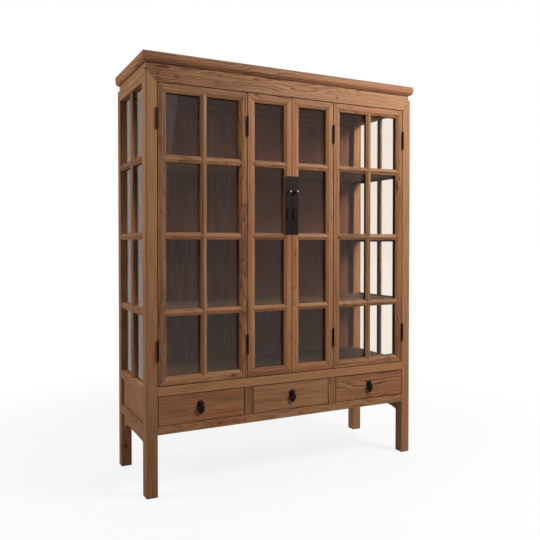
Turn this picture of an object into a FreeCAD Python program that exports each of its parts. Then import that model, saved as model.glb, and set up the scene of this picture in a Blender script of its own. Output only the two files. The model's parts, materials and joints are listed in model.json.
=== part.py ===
"""Display cabinet with two folding pairs of glazed doors and three drawers.

Millimetres. X runs along the front to the right, Y to the back, Z up.
The origin is on the floor, under the middle of the whole object.
"""
import FreeCAD, Part
import math
import os

V = FreeCAD.Vector

# Body and its levels
body_width = 1484.0
body_depth = 520.0
total_height = 2000.0
post_size = 54.0
corner_radius = 9.0
leg_clearance = 282.0
bottom_rail_height = 39.0
drawer_opening_height = 136.5
middle_rail_height = 41.5
rail_depth = 40.0
splay_height = 7.0
neck_height = 25.0
neck_recess = 9.0
tenon_thickness = 12.0
tenon_length = 26.0
tenon_shoulder = 8.0
joint_clearance = 0.2
cut_overrun = 1.0

# Cornice and top
cornice_height = 43.0
cornice_overhang = 10.0
cornice_width = 46.0
cornice_fascia = 18.0
cornice_bead = 3.0
cornice_rear_thickness = 22.0
batten_width = 60.0
top_board_thickness = 16.0
top_board_drop = 4.0

# Glazing bars and glass
bar_width = 32.0
bar_slope_depth = 7.0
bar_depth = 22.0
side_bar_depth = 18.0
lowest_bar_rise = 332.5
top_bar_drop = 338.5
bar_count = 3
glass_thickness = 4.0
glass_clearance = 0.3
glass_grip = 7.0

# Doors
fold_offset = 242.8
door_gap = 3.2
door_sill_gap = 4.5
door_head_gap = 4.0
door_thickness = 32.0
stile_width = 40.0
door_top_rail = 40.0
door_bottom_rail = 40.0
stop_height = 8.0
stop_thickness = 14.0
stop_clearance = 1.5

# Hinges
hinge_length = 96.0
hinge_end_distance = 160.0
barrel_radius = 4.5
barrel_standoff = 0.4
pin_radius = 2.5
pin_clearance = 0.05
hinge_leaf_thickness = 1.5
hinge_leaf_depth = 27.0
knuckle_gap = 0.3
knuckle_count = 5

# Lock plates
plate_width = 36.0
plate_height = 290.0
plate_rise = 8.5
plate_thickness = 2.0
plate_gap = 0.6
stud_rise = 211.5
stud_offset = 20.5
stud_neck_radius = 5.0
stud_head_radius = 8.0
stud_reach = 26.0
tab_width = 23.0
tab_length = 58.0
tab_thickness = 2.4
tab_offset = 18.0
tab_pin_rise = 132.5
tab_pin_radius = 1.5
tab_pin_head_radius = 4.0
tab_eye_wall = 1.8
nail_radius = 2.5
nail_reach = 1.5
nail_end_distance = 12.0

# Drawers
divider_width = 43.5
drawer_gap = 2.5
drawer_front_thickness = 20.0
drawer_side_thickness = 13.0
drawer_back_thickness = 12.0
drawer_bottom_thickness = 7.0
drawer_bottom_rise = 9.0
drawer_groove_depth = 5.0
drawer_back_gap = 6.0
drawer_top_drop = 12.0
runner_thickness = 18.0
runner_overlap = 22.0
runner_clearance = 0.3
guide_clearance = 1.0
guide_height = 16.0

# Drawer pulls
pull_rise = 82.0
pull_offsets = (-11.0, 1.0, -4.5)
rose_radius = 17.0
rose_edge = 2.0
rose_dome = 3.0
pull_pin_radius = 1.6
pull_pin_standoff = 10.0
pull_ear_thickness = 2.5
pull_ear_radius = 4.0
pull_eye_radius = 4.0
pull_eye_width = 7.0
pull_drop_width = 36.0
pull_drop_length = 41.5
pull_drop_thickness = 4.0
pull_swell_share = 0.8

# Inside
shelf_thickness = 18.0
shelf_front_gap = 2.0
shelf_glass_gap = 2.0
cleat_thickness = 11.0
cleat_height = 15.0
floor_thickness = 20.0
back_board_thickness = 12.0
back_board_inset = 10.0
back_board_count = 6
back_board_gap = 0.5
back_groove_depth = 10.0
rear_rail_depth = 36.0
panel_thickness = 12.0
panel_recess = 15.0
panel_groove_depth = 8.0
apron_thickness = 16.0
apron_depth = 51.0
bracket_length = 100.0
bracket_drop = 42.0

# Levels and lines that follow
bottom_rail_top = leg_clearance + bottom_rail_height
middle_rail_bottom = bottom_rail_top + drawer_opening_height
middle_rail_top = middle_rail_bottom + middle_rail_height
cornice_bottom = total_height - cornice_height
neck_bottom = cornice_bottom - neck_height
mitre_top = neck_bottom - splay_height
opening_top = mitre_top - post_size
front = (stud_reach - body_depth) / 2
rear = front + body_depth
half_width = body_width / 2
opening_half = half_width - post_size
lowest_bar = middle_rail_top + lowest_bar_rise
bar_pitch = (opening_top - top_bar_drop - lowest_bar) / (bar_count - 1)
bar_levels = [lowest_bar + i * bar_pitch for i in range(bar_count)]
plate_bottom = bar_levels[bar_count // 2] + plate_rise
stud_height = plate_bottom + stud_rise
tab_pin_height = plate_bottom + tab_pin_rise
pull_height = bottom_rail_top + pull_rise
drawer_opening_width = (2 * opening_half - 2 * divider_width) / 3
drawer_centres = [i * (drawer_opening_width + divider_width) for i in (-1, 0, 1)]
door_bottom = middle_rail_top + door_sill_gap
door_top = opening_top - door_head_gap
stop_front = front + door_thickness + stop_clearance
floor_top = middle_rail_top + stop_height
back_boards_rear = rear - back_board_inset
back_boards_front = back_boards_rear - back_board_thickness
rear_rail_front = back_boards_front - rear_rail_depth
side_glass_outer = half_width - side_bar_depth
side_glass_inner = side_glass_outer - glass_thickness
hinge_axis_y = front - barrel_radius - barrel_standoff
hinge_bottoms = [door_bottom + hinge_end_distance - hinge_length / 2,
                 door_top - hinge_end_distance - hinge_length / 2]


def box(x, y, z):
    """A box from (low, high) pairs along X, Y and Z."""
    low = [min(pair) for pair in (x, y, z)]
    size = [max(pair) - min(pair) for pair in (x, y, z)]
    return Part.makeBox(size[0], size[1], size[2], V(low[0], low[1], low[2]))


def grown(pair, margin):
    """A (low, high) pair made longer by the margin at both ends."""
    return (min(pair) - margin, max(pair) + margin)


def prism(points, direction):
    """A flat outline carried along a vector."""
    wire = Part.makePolygon(list(points) + [points[0]])
    return Part.Face(wire).extrude(direction)


def cylinder(radius, start, direction, length):
    return Part.makeCylinder(radius, length, start, direction)


def flip_x(shape):
    """The same piece on the other side, left for right."""
    return shape.mirror(V(0, 0, 0), V(1, 0, 0))


def flip_y(shape):
    """The same piece at the other face, front for rear."""
    return shape.mirror(V(0, (front + rear) / 2, 0), V(0, 1, 0))


def solids_of(shapes):
    """Every solid of the shapes, as one group of separate solids."""
    found = []
    for shape in shapes:
        found.extend(shape.Solids)
    return Part.makeCompound(found)


# Three-way mitres. At a corner, a is the distance in from the side face, b the
# distance in from the front or rear face and c the distance down from the mitre's
# top. The post keeps c over a and b, the front rail a over b and c, the side rail
# b over a and c, so all three meet in one point on the outer corner.

def corner_wedge(kind):
    """The part of the front left corner that one rule takes away."""
    size = post_size + cut_overrun
    x0 = -half_width
    y0 = front
    z0 = mitre_top
    up = cornice_bottom - mitre_top + cut_overrun
    run_y = V(0, size + cut_overrun, 0)
    run_x = V(size + cut_overrun, 0, 0)
    if kind == "a over c":
        points = [V(x0, y0 - cut_overrun, z0), V(x0 + size, y0 - cut_overrun, z0 - size),
                  V(x0 + size, y0 - cut_overrun, z0 + up), V(x0, y0 - cut_overrun, z0 + up)]
        return prism(points, run_y)
    if kind == "c over a":
        points = [V(x0, y0 - cut_overrun, z0), V(x0 + size, y0 - cut_overrun, z0 - size),
                  V(x0 - cut_overrun, y0 - cut_overrun, z0 - size),
                  V(x0 - cut_overrun, y0 - cut_overrun, z0)]
        return prism(points, run_y)
    if kind == "b over c":
        points = [V(x0 - cut_overrun, y0, z0), V(x0 - cut_overrun, y0 + size, z0 - size),
                  V(x0 - cut_overrun, y0 + size, z0 + up), V(x0 - cut_overrun, y0, z0 + up)]
        return prism(points, run_x)
    if kind == "c over b":
        points = [V(x0 - cut_overrun, y0, z0), V(x0 - cut_overrun, y0 + size, z0 - size),
                  V(x0 - cut_overrun, y0 - cut_overrun, z0 - size),
                  V(x0 - cut_overrun, y0 - cut_overrun, z0)]
        return prism(points, run_x)
    rise = V(0, 0, post_size + up + 2 * cut_overrun)
    base = z0 - post_size - cut_overrun
    if kind == "b over a":
        return prism([V(x0, y0, base), V(x0 + size, y0 + size, base),
                      V(x0 - cut_overrun, y0 + size, base), V(x0 - cut_overrun, y0, base)], rise)
    return prism([V(x0, y0, base), V(x0 + size, y0 + size, base),
                  V(x0 + size, y0 - cut_overrun, base), V(x0, y0 - cut_overrun, base)], rise)


def corner_rounding():
    """What the rounded outer corner of the front left post takes away, full height."""
    square = box((-half_width - cut_overrun, -half_width + corner_radius),
                 (front - cut_overrun, front + corner_radius),
                 (-cut_overrun, cornice_bottom + cut_overrun))
    round_bar = cylinder(corner_radius, V(-half_width + corner_radius, front + corner_radius,
                                          -2 * cut_overrun),
                         V(0, 0, 1), cornice_bottom + 4 * cut_overrun)
    return square.cut(round_bar)


def at_corner(shape, right, back):
    if right:
        shape = flip_x(shape)
    if back:
        shape = flip_y(shape)
    return shape


def tenon_across(x_face, toward, y_low, z_low, z_high):
    """Tenon box of a rail that runs along X, from its shoulder into the post."""
    return box((x_face, x_face + toward * tenon_length), (y_low, y_low + tenon_thickness),
               (z_low + tenon_shoulder, z_high - tenon_shoulder))


def tenon_along(y_face, toward, x_low, z_low, z_high):
    """Tenon box of a rail that runs along Y, from its shoulder into the post."""
    return box((x_low, x_low + tenon_thickness), (y_face, y_face + toward * tenon_length),
               (z_low + tenon_shoulder, z_high - tenon_shoulder))


def mortise(tenon):
    """The tenon's room: its box with a small clearance all round."""
    b = tenon.BoundBox
    return box(grown((b.XMin, b.XMax), joint_clearance),
               grown((b.YMin, b.YMax), joint_clearance),
               grown((b.ZMin, b.ZMax), joint_clearance))


rail_levels = [(leg_clearance, bottom_rail_top), (middle_rail_bottom, middle_rail_top)]
front_tenon_y = front + (rail_depth - tenon_thickness) / 2
side_tenon_x = -half_width + (rail_depth - tenon_thickness) / 2
rear_tenon_y = rear_rail_front + (rear_rail_depth - tenon_thickness) / 2


def side_glass_pocket():
    """Room for the left side's glass sheet, with its clearance."""
    return box(grown((-side_glass_outer, -side_glass_inner), glass_clearance),
               grown((front + post_size, rear - post_size), glass_grip),
               grown((middle_rail_top, opening_top), glass_grip))


def side_panel_box(margin):
    """The left side's panel beside the drawers, grown by a clearance."""
    x = (-half_width + panel_recess, -half_width + panel_recess + panel_thickness)
    grip = panel_groove_depth - joint_clearance
    return box(grown(x, margin),
               grown((front + post_size, rear - post_size), grip + margin),
               grown((bottom_rail_top, middle_rail_bottom), grip + margin))


def back_pocket():
    """Room for the back boards in the rear posts and rails."""
    x = (-opening_half - back_groove_depth, opening_half + back_groove_depth)
    z = (bottom_rail_top - back_groove_depth, opening_top + back_groove_depth)
    return box(x, grown((back_boards_front, back_boards_rear), joint_clearance), z)


def make_post(right, back):
    post = box((-half_width, -half_width + post_size), (front, front + post_size), (0, mitre_top))
    post = post.cut(corner_wedge("a over c"))
    post = post.cut(corner_wedge("b over c"))
    post = post.cut(corner_rounding())
    post = at_corner(post, False, back)
    side_face_y = rear - post_size if back else front + post_size
    into = 1 if back else -1
    across_y = rear_tenon_y if back else front_tenon_y
    for low, high in rail_levels:
        post = post.cut(mortise(tenon_across(-opening_half, -1, across_y, low, high)))
        post = post.cut(mortise(tenon_along(side_face_y, into, side_tenon_x, low, high)))
    post = post.cut(side_glass_pocket())
    post = post.cut(side_panel_box(joint_clearance))
    if back:
        post = post.cut(back_pocket())
    return flip_x(post) if right else post


def top_rail_section(face, inward):
    """Section of a top rail: face up to the splay, then the recessed neck."""
    return [(face, opening_top), (face, mitre_top), (face + inward * neck_recess, neck_bottom),
            (face + inward * neck_recess, cornice_bottom), (face + inward * post_size, cornice_bottom),
            (face + inward * post_size, opening_top)]


def front_top_rail():
    points = [V(-half_width, y, z) for y, z in top_rail_section(front, 1)]
    rail = prism(points, V(body_width, 0, 0))
    for right in (False, True):
        for kind in ("c over a", "b over a"):
            rail = rail.cut(at_corner(corner_wedge(kind), right, False))
        rail = rail.cut(at_corner(corner_rounding(), right, False))
    return rail


def rear_top_rail():
    return flip_y(front_top_rail()).cut(back_pocket())


def side_top_rail():
    points = [V(x, front, z) for x, z in top_rail_section(-half_width, 1)]
    rail = prism(points, V(0, body_depth, 0))
    for back in (False, True):
        for kind in ("c over b", "a over b"):
            rail = rail.cut(at_corner(corner_wedge(kind), False, back))
        rail = rail.cut(at_corner(corner_rounding(), False, back))
    return rail.cut(side_glass_pocket())


def front_rail(low, high):
    rail = box((-opening_half, opening_half), (front, front + rail_depth), (low, high))
    for side in (-1, 1):
        rail = rail.fuse(tenon_across(side * opening_half, side, front_tenon_y, low, high))
    return rail.removeSplitter()


def rear_rail(low, high):
    rail = box((-opening_half, opening_half), (rear_rail_front, back_boards_front), (low, high))
    for side in (-1, 1):
        rail = rail.fuse(tenon_across(side * opening_half, side, rear_tenon_y, low, high))
    return rail.removeSplitter()


def side_rail(low, high):
    """Left rail between the posts, grooved for the glass and the panel."""
    ends = (front + post_size, rear - post_size)
    rail = box((-half_width, -half_width + rail_depth), ends, (low, high))
    rail = rail.fuse(tenon_along(ends[0], -1, side_tenon_x, low, high))
    rail = rail.fuse(tenon_along(ends[1], 1, side_tenon_x, low, high))
    return rail.removeSplitter().cut(side_glass_pocket()).cut(side_panel_box(joint_clearance))


def both_sides(shape):
    return [shape, flip_x(shape)]


def carcass_frame():
    side = [side_top_rail()] + [side_rail(low, high) for low, high in rail_levels]
    rear_rails = [rear_top_rail()] + [rear_rail(low, high) for low, high in rail_levels]
    rear_rails[1] = rear_rails[1].cut(back_pocket())
    return {
        "front_left_post": make_post(False, False),
        "front_right_post": make_post(True, False),
        "rear_left_post": make_post(False, True),
        "rear_right_post": make_post(True, True),
        "front_top_rail": front_top_rail(),
        "front_middle_rail": front_rail(*rail_levels[1]),
        "front_bottom_rail": front_rail(*rail_levels[0]),
        "rear_rails": solids_of(rear_rails),
        "side_rails": solids_of([piece for rail in side for piece in both_sides(rail)]),
    }


def cornice_section():
    """Cornice outline as (distance out from the body's face, height) with an ovolo below."""
    out = cornice_overhang
    inner = out - cornice_width
    bead_top = cornice_bottom + cornice_bead
    ovolo_top = total_height - cornice_fascia
    points = [(inner, cornice_bottom), (0, cornice_bottom), (0, bead_top)]
    steps = 6
    for i in range(1, steps + 1):
        angle = i * math.pi / 2 / steps
        points.append((out * math.sin(angle), ovolo_top - (ovolo_top - bead_top) * math.cos(angle)))
    return points + [(out, total_height), (inner, total_height)]


def mitre_cutter():
    """Everything behind the cornice's mitre plane at the front left corner."""
    size = cornice_width + cornice_overhang
    x0 = -half_width - cornice_overhang
    y0 = front - cornice_overhang
    base = cornice_bottom - cut_overrun
    points = [V(x0, y0, base), V(x0 + size, y0 + size, base), V(x0 - size, y0 + size, base),
              V(x0 - size, y0, base)]
    return prism(points, V(0, 0, cornice_height + 2 * cut_overrun))


def mitre_cutter_front():
    size = cornice_width + cornice_overhang
    x0 = -half_width - cornice_overhang
    y0 = front - cornice_overhang
    base = cornice_bottom - cut_overrun
    points = [V(x0, y0, base), V(x0 + size, y0 + size, base), V(x0 + size, y0 - size, base),
              V(x0, y0 - size, base)]
    return prism(points, V(0, 0, cornice_height + 2 * cut_overrun))


def cornice_front():
    start = -half_width - cornice_overhang
    points = [V(start, front - out, z) for out, z in cornice_section()]
    piece = prism(points, V(body_width + 2 * cornice_overhang, 0, 0))
    return piece.cut(mitre_cutter()).cut(flip_x(mitre_cutter()))


def cornice_return():
    start = front - cornice_overhang
    points = [V(-half_width - out, start, z) for out, z in cornice_section()]
    piece = prism(points, V(0, body_depth + cornice_overhang, 0))
    return piece.cut(mitre_cutter_front())


def top_pieces():
    inner_x = half_width + cornice_overhang - cornice_width
    inner_y = front - cornice_overhang + cornice_width
    board_top = total_height - top_board_drop
    board_bottom = board_top - top_board_thickness
    closing_front = rear - cornice_rear_thickness
    closing = box((-inner_x, inner_x), (closing_front, rear), (cornice_bottom, total_height))
    board = box((-inner_x, inner_x), (inner_y, closing_front), (board_bottom, board_top))
    battens = []
    for centre in (-(inner_x - batten_width / 2), 0, inner_x - batten_width / 2):
        battens.append(box((centre - batten_width / 2, centre + batten_width / 2),
                           (inner_y, closing_front), (cornice_bottom, board_bottom)))
    return {
        "cornice": solids_of([cornice_front()] + both_sides(cornice_return()) + [closing]),
        "top_board": board,
        "top_battens": solids_of(battens),
    }


def bar_prism(centre, along, ends, depth):
    """A glazing bar on the front face with a ridge in its middle.

    centre is its middle line across, along is "x" or "z", ends its low and high.
    """
    half = bar_width / 2
    section = [(-half, depth), (-half, bar_slope_depth), (0, 0), (half, bar_slope_depth),
               (half, depth)]
    if along == "x":
        points = [V(ends[0], front + y, centre + u) for u, y in section]
        return prism(points, V(ends[1] - ends[0], 0, 0))
    points = [V(centre + u, front + y, ends[0]) for u, y in section]
    return prism(points, V(0, 0, ends[1] - ends[0]))


def frame_members(x, z, widths, depth):
    """Four mitred frame members round an opening, with a bevel on the inner edge.

    x and z are the frame's outside, widths its left, right, bottom and top members.
    """
    x0, x1 = x
    z0, z1 = z
    left, right, bottom, top = widths
    inner = (x0 + left, x1 - right, z0 + bottom, z1 - top)
    bevel = bar_width / 2
    block = box(x, (front, front + depth), z)
    block = block.cut(box(inner[:2], (front - cut_overrun, front + depth + cut_overrun), inner[2:]))
    near = [V(inner[0] - bevel, front, inner[2] - bevel), V(inner[1] + bevel, front, inner[2] - bevel),
            V(inner[1] + bevel, front, inner[3] + bevel), V(inner[0] - bevel, front, inner[3] + bevel)]
    far = [V(inner[0], front + bar_slope_depth, inner[2]), V(inner[1], front + bar_slope_depth, inner[2]),
           V(inner[1], front + bar_slope_depth, inner[3]), V(inner[0], front + bar_slope_depth, inner[3])]
    funnel = Part.makeLoft([Part.makePolygon(near + near[:1]), Part.makePolygon(far + far[:1])],
                           True, True)
    block = block.cut(funnel)
    middle_x = (inner[0] + inner[1]) / 2
    run = V(0, depth + 2 * cut_overrun, 0)
    y = front - cut_overrun
    lower = [V(x0, y, z0), V(inner[0], y, inner[2]), V(inner[1], y, inner[2]), V(x1, y, z0)]
    upper = [V(x0, y, z1), V(inner[0], y, inner[3]), V(inner[1], y, inner[3]), V(x1, y, z1)]
    left_part = [V(x0, y, z0), V(inner[0], y, inner[2]), V(middle_x, y, inner[2]),
                 V(middle_x, y, inner[3]), V(inner[0], y, inner[3]), V(x0, y, z1)]
    right_part = [V(x1, y, z0), V(inner[1], y, inner[2]), V(middle_x, y, inner[2]),
                  V(middle_x, y, inner[3]), V(inner[1], y, inner[3]), V(x1, y, z1)]
    return [block.common(prism(points, run)) for points in (left_part, right_part, lower, upper)]


def glazing_bars(inner_x, inner_z, verticals, levels, depth):
    """Upright bars, then crossbars whose pointed ends ride over what they meet."""
    reach = bar_width / 2
    uprights = [bar_prism(c, "z", grown(inner_z, reach), depth) for c in verticals]
    stops = [inner_x[0]] + list(verticals) + [inner_x[1]]
    crossbars = []
    for level in levels:
        for i in range(len(stops) - 1):
            low = stops[i] - (reach if i == 0 else 0)
            high = stops[i + 1] + (reach if i == len(stops) - 2 else 0)
            bar = bar_prism(level, "x", (low, high), depth)
            for upright in uprights:
                bar = bar.cut(upright)
            crossbars.append(bar)
    return uprights, crossbars


def hinge_pieces(x_gap, bottom, moving_toward):
    """A butt hinge in the gap centred on x_gap: fixed leaf, moving leaf and pin.

    The moving leaf lies on the side that moving_toward points to.
    """
    top = bottom + hinge_length
    pitch = hinge_length / knuckle_count
    axis = V(x_gap, hinge_axis_y, 0)
    up = V(0, 0, 1)
    leaf_y = (hinge_axis_y, front + hinge_leaf_depth)
    leaf_inner = door_gap / 2 - hinge_leaf_thickness
    pieces = []
    for toward, first in ((-moving_toward, 0), (moving_toward, 1)):
        leaf = box((x_gap + toward * leaf_inner, x_gap + toward * door_gap / 2), leaf_y,
                   (bottom, top))
        for i in range(knuckle_count):
            low = bottom + i * pitch
            if i % 2 == first:
                start = low + (knuckle_gap / 2 if i > 0 else 0)
                end = low + pitch - (knuckle_gap / 2 if i < knuckle_count - 1 else 0)
                leaf = leaf.fuse(cylinder(barrel_radius, axis + V(0, 0, start), up, end - start))
            else:
                start = low - (knuckle_gap / 2 if i > 0 else cut_overrun)
                end = low + pitch + (knuckle_gap / 2 if i < knuckle_count - 1 else cut_overrun)
                leaf = leaf.cut(cylinder(barrel_radius + knuckle_gap, axis + V(0, 0, start), up,
                                         end - start))
        bore = cylinder(pin_radius + pin_clearance, axis + V(0, 0, bottom - cut_overrun), up,
                        hinge_length + 2 * cut_overrun)
        pieces.append(leaf.cut(bore))
    pin = cylinder(pin_radius, axis + V(0, 0, bottom), up, hinge_length)
    return pieces[0], pieces[1], pin


def door_leaf(x, verticals):
    """A glazed leaf that fills x: frame members, bars and glass."""
    z = (door_bottom, door_top)
    inner_x = (x[0] + stile_width, x[1] - stile_width)
    inner_z = (z[0] + door_bottom_rail, z[1] - door_top_rail)
    widths = (stile_width, stile_width, door_bottom_rail, door_top_rail)
    members = frame_members(x, z, widths, door_thickness)
    uprights, crossbars = glazing_bars(inner_x, inner_z, verticals, bar_levels, bar_depth)
    bars = []
    for bar in uprights + crossbars:
        for member in members:
            bar = bar.cut(member)
        bars.append(bar)
    glass_y = (front + bar_depth, front + bar_depth + glass_thickness)
    glass = box(grown(inner_x, glass_grip - glass_clearance), glass_y,
                grown(inner_z, glass_grip - glass_clearance))
    pocket = box(grown(inner_x, glass_grip), grown(glass_y, glass_clearance),
                 grown(inner_z, glass_grip))
    members = [member.cut(pocket) for member in members]
    bars = [bar.cut(box(x, (glass_y[0], glass_y[1] + cut_overrun), z)) for bar in bars]
    return members, bars, glass


def lock_plate(x_edge, toward):
    """Half of the lock plate, with its nails, from the meeting edge outwards."""
    x = (x_edge, x_edge + toward * plate_width)
    plate = box(x, (front - plate_thickness, front), (plate_bottom, plate_bottom + plate_height))
    middle = (x[0] + x[1]) / 2
    for level in (plate_bottom + nail_end_distance, plate_bottom + plate_height - nail_end_distance):
        nail = cylinder(nail_radius, V(middle, front - plate_thickness, level), V(0, -1, 0),
                        nail_reach)
        plate = plate.fuse(nail)
    return plate.removeSplitter()


def lock_stud(centre):
    """Domed knob on a neck, standing on the plate."""
    face = front - plate_thickness
    tip = front - stud_reach
    neck_end = tip + stud_head_radius
    out = V(0, -1, 0)
    neck = cylinder(stud_neck_radius, V(centre, face, stud_height), out, face - neck_end)
    head = Part.makeSphere(stud_head_radius, V(centre, neck_end, stud_height))
    collar_radius = (stud_neck_radius + stud_head_radius) / 2
    collar = cylinder(collar_radius, V(centre, face, stud_height), out, plate_thickness)
    return neck.fuse([head, collar]).removeSplitter()


def lock_tab(centre):
    """Hanging tab with an eye at its top, and the pin with its two ears that carries it."""
    face = front - plate_thickness
    eye_radius = tab_pin_radius + pin_clearance + tab_eye_wall
    pin_y = face - eye_radius - knuckle_gap
    along = V(1, 0, 0)
    eye_half = tab_width / 4
    tab_y = (pin_y - tab_thickness / 2, pin_y + tab_thickness / 2)
    blade = box((centre - tab_width / 2, centre + tab_width / 2), tab_y,
                (tab_pin_height - tab_length, tab_pin_height - eye_radius))
    neck = box((centre - eye_half, centre + eye_half), tab_y,
               (tab_pin_height - 2 * eye_radius, tab_pin_height))
    eye = cylinder(eye_radius, V(centre - eye_half, pin_y, tab_pin_height), along, 2 * eye_half)
    bore = cylinder(tab_pin_radius + pin_clearance,
                    V(centre - tab_width, pin_y, tab_pin_height), along, 2 * tab_width)
    tab = blade.fuse([neck, eye]).removeSplitter().cut(bore)
    ear_reach = tab_pin_head_radius
    ears = []
    for side in (-1, 1):
        start = centre + side * (eye_half + knuckle_gap)
        ears.append(box((start, start + side * tab_eye_wall), (face, pin_y - ear_reach / 2),
                        grown((tab_pin_height, tab_pin_height), ear_reach / 2)))
    pin_half = eye_half + knuckle_gap + tab_eye_wall
    pin = cylinder(tab_pin_radius, V(centre - pin_half, pin_y, tab_pin_height), along, 2 * pin_half)
    head = Part.makeSphere(tab_pin_head_radius / 2, V(centre - pin_half, pin_y, tab_pin_height))
    other = Part.makeSphere(tab_pin_head_radius / 2, V(centre + pin_half, pin_y, tab_pin_height))
    holder = pin.fuse(ears + [head, other]).removeSplitter()
    return tab, holder


def door_pieces():
    """Left doors and hinges, modelled on the left and mirrored to the right."""
    nodes = {}
    wide = (-opening_half + door_gap, -fold_offset - door_gap / 2)
    narrow = (-fold_offset + door_gap / 2, -door_gap / 2)
    wide_middle = (wide[0] + wide[1]) / 2
    shapes = {}
    for name, span, verticals in (("wide", wide, [wide_middle]), ("narrow", narrow, [])):
        members, bars, glass = door_leaf(span, verticals)
        shapes[name + "_door_frame"] = members
        shapes[name + "_door_bars"] = bars
        shapes[name + "_door_glass"] = [glass]
    post_gap = -opening_half + door_gap / 2
    fixed_leaves = []
    wide_leaves = []
    narrow_leaves = []
    for bottom in hinge_bottoms:
        fixed, moving, pin = hinge_pieces(post_gap, bottom, 1)
        fixed_leaves.extend([fixed, pin])
        wide_leaves.append(moving)
        fixed, moving, pin = hinge_pieces(-fold_offset, bottom, 1)
        wide_leaves.extend([fixed, pin])
        narrow_leaves.append(moving)
    shapes["wide_door_hinges"] = wide_leaves
    shapes["narrow_door_hinges"] = narrow_leaves
    plate_edge = -plate_gap / 2
    tab, holder = lock_tab(-tab_offset)
    shapes["lock_plate"] = [lock_plate(plate_edge, -1)]
    shapes["lock_stud"] = [lock_stud(-stud_offset), holder]
    shapes["lock_tab"] = [tab]
    for name, pieces in shapes.items():
        nodes["left_" + name] = solids_of(pieces)
        nodes["right_" + name] = solids_of([flip_x(piece) for piece in pieces])
    post_hinges = [leaf for piece in fixed_leaves for leaf in both_sides(piece)]
    nodes["post_hinges"] = solids_of(post_hinges)
    return nodes


def side_pieces():
    """Left side's bars, glass, panel and apron, mirrored to the right."""
    inner_y = (front + post_size, rear - post_size)
    middle = (inner_y[0] + inner_y[1]) / 2
    half = bar_width / 2
    face = -half_width
    section = [(-half, side_bar_depth), (-half, bar_slope_depth), (0, 0), (half, bar_slope_depth),
               (half, side_bar_depth)]
    upright = prism([V(face + d, middle + u, middle_rail_top) for u, d in section],
                    V(0, 0, opening_top - middle_rail_top))
    bars = [upright]
    for level in bar_levels:
        for ends in ((inner_y[0], middle), (middle, inner_y[1])):
            bar = prism([V(face + d, ends[0], level + u) for u, d in section],
                        V(0, ends[1] - ends[0], 0))
            bars.append(bar.cut(upright))
    grip = glass_grip - glass_clearance
    glass = box((-side_glass_outer, -side_glass_inner), grown(inner_y, grip),
                grown((middle_rail_top, opening_top), grip))
    apron_x = (face + panel_recess, face + panel_recess + apron_thickness)
    x = apron_x[0]
    low = leg_clearance - apron_depth
    points = [V(x, inner_y[0], leg_clearance), V(x, inner_y[1], leg_clearance)]
    steps = 5
    curve = []
    for i in range(steps + 1):
        angle = i * math.pi / 2 / steps
        curve.append((bracket_length * (1 - math.sin(angle)), bracket_drop * (1 - math.cos(angle))))
    for inset, drop in curve[::-1]:
        points.append(V(x, inner_y[1] - inset, low - drop))
    for inset, drop in curve:
        points.append(V(x, inner_y[0] + inset, low - drop))
    apron = prism(points, V(apron_thickness, 0, 0))
    return {
        "side_bars": solids_of([piece for bar in bars for piece in both_sides(bar)]),
        "side_glass": solids_of(both_sides(glass)),
        "side_panels": solids_of(both_sides(side_panel_box(0))),
        "side_aprons": solids_of(both_sides(apron)),
    }


def shelf_board(z_low, z_high, y_front):
    """A board between the back boards and y_front, notched round the four posts."""
    reach = side_glass_inner - shelf_glass_gap
    y_back = back_boards_front - joint_clearance
    board = box((-reach, reach), (y_front, y_back), (z_low, z_high))
    post_room = grown((-half_width, -opening_half), joint_clearance)
    height = grown((z_low, z_high), cut_overrun)
    for y in ((front, front + post_size), (rear - post_size, rear)):
        notch = box(post_room, grown(y, joint_clearance), height)
        board = board.cut(notch).cut(flip_x(notch))
    return board


def inner_pieces():
    shelf_front = stop_front + shelf_front_gap
    nodes = {}
    cleats = []
    cleat_y = (front + post_size, rear - post_size)
    for name, level in zip(("lower", "middle", "upper"), bar_levels):
        z = (level - shelf_thickness / 2, level + shelf_thickness / 2)
        nodes[name + "_shelf"] = shelf_board(z[0], z[1], shelf_front)
        cleat = box((-opening_half - cleat_thickness, -opening_half), cleat_y,
                    (z[0] - cleat_height, z[0]))
        cleats.extend(both_sides(cleat))
    nodes["shelf_cleats"] = solids_of(cleats)
    floor = shelf_board(floor_top - floor_thickness, floor_top, stop_front)
    rail_front = front + rail_depth + joint_clearance
    under_front = box((-body_width, body_width), (front, rail_front),
                      (floor_top - floor_thickness - cut_overrun, middle_rail_top))
    over_rear = box((-body_width, body_width), (rear_rail_front - joint_clearance, rear),
                    (floor_top - floor_thickness - cut_overrun, middle_rail_top))
    rail_room = box(grown((-half_width, -half_width + rail_depth), joint_clearance), (front, rear),
                    (floor_top - floor_thickness - cut_overrun, middle_rail_top))
    for cutter in (under_front, over_rear, rail_room, flip_x(rail_room)):
        floor = floor.cut(cutter)
    nodes["floor_board"] = floor
    lip = box((-opening_half, opening_half), (stop_front, stop_front + stop_thickness),
              (opening_top - stop_height, opening_top))
    nodes["top_door_stop"] = lip
    width = (2 * (opening_half + back_groove_depth - joint_clearance)
             - (back_board_count - 1) * back_board_gap) / back_board_count
    boards = []
    start = -(opening_half + back_groove_depth - joint_clearance)
    z = (bottom_rail_top - back_groove_depth + joint_clearance,
         opening_top + back_groove_depth - joint_clearance)
    for i in range(back_board_count):
        low = start + i * (width + back_board_gap)
        boards.append(box((low, low + width), (back_boards_front, back_boards_rear), z))
    nodes["back_boards"] = solids_of(boards)
    return nodes


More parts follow.
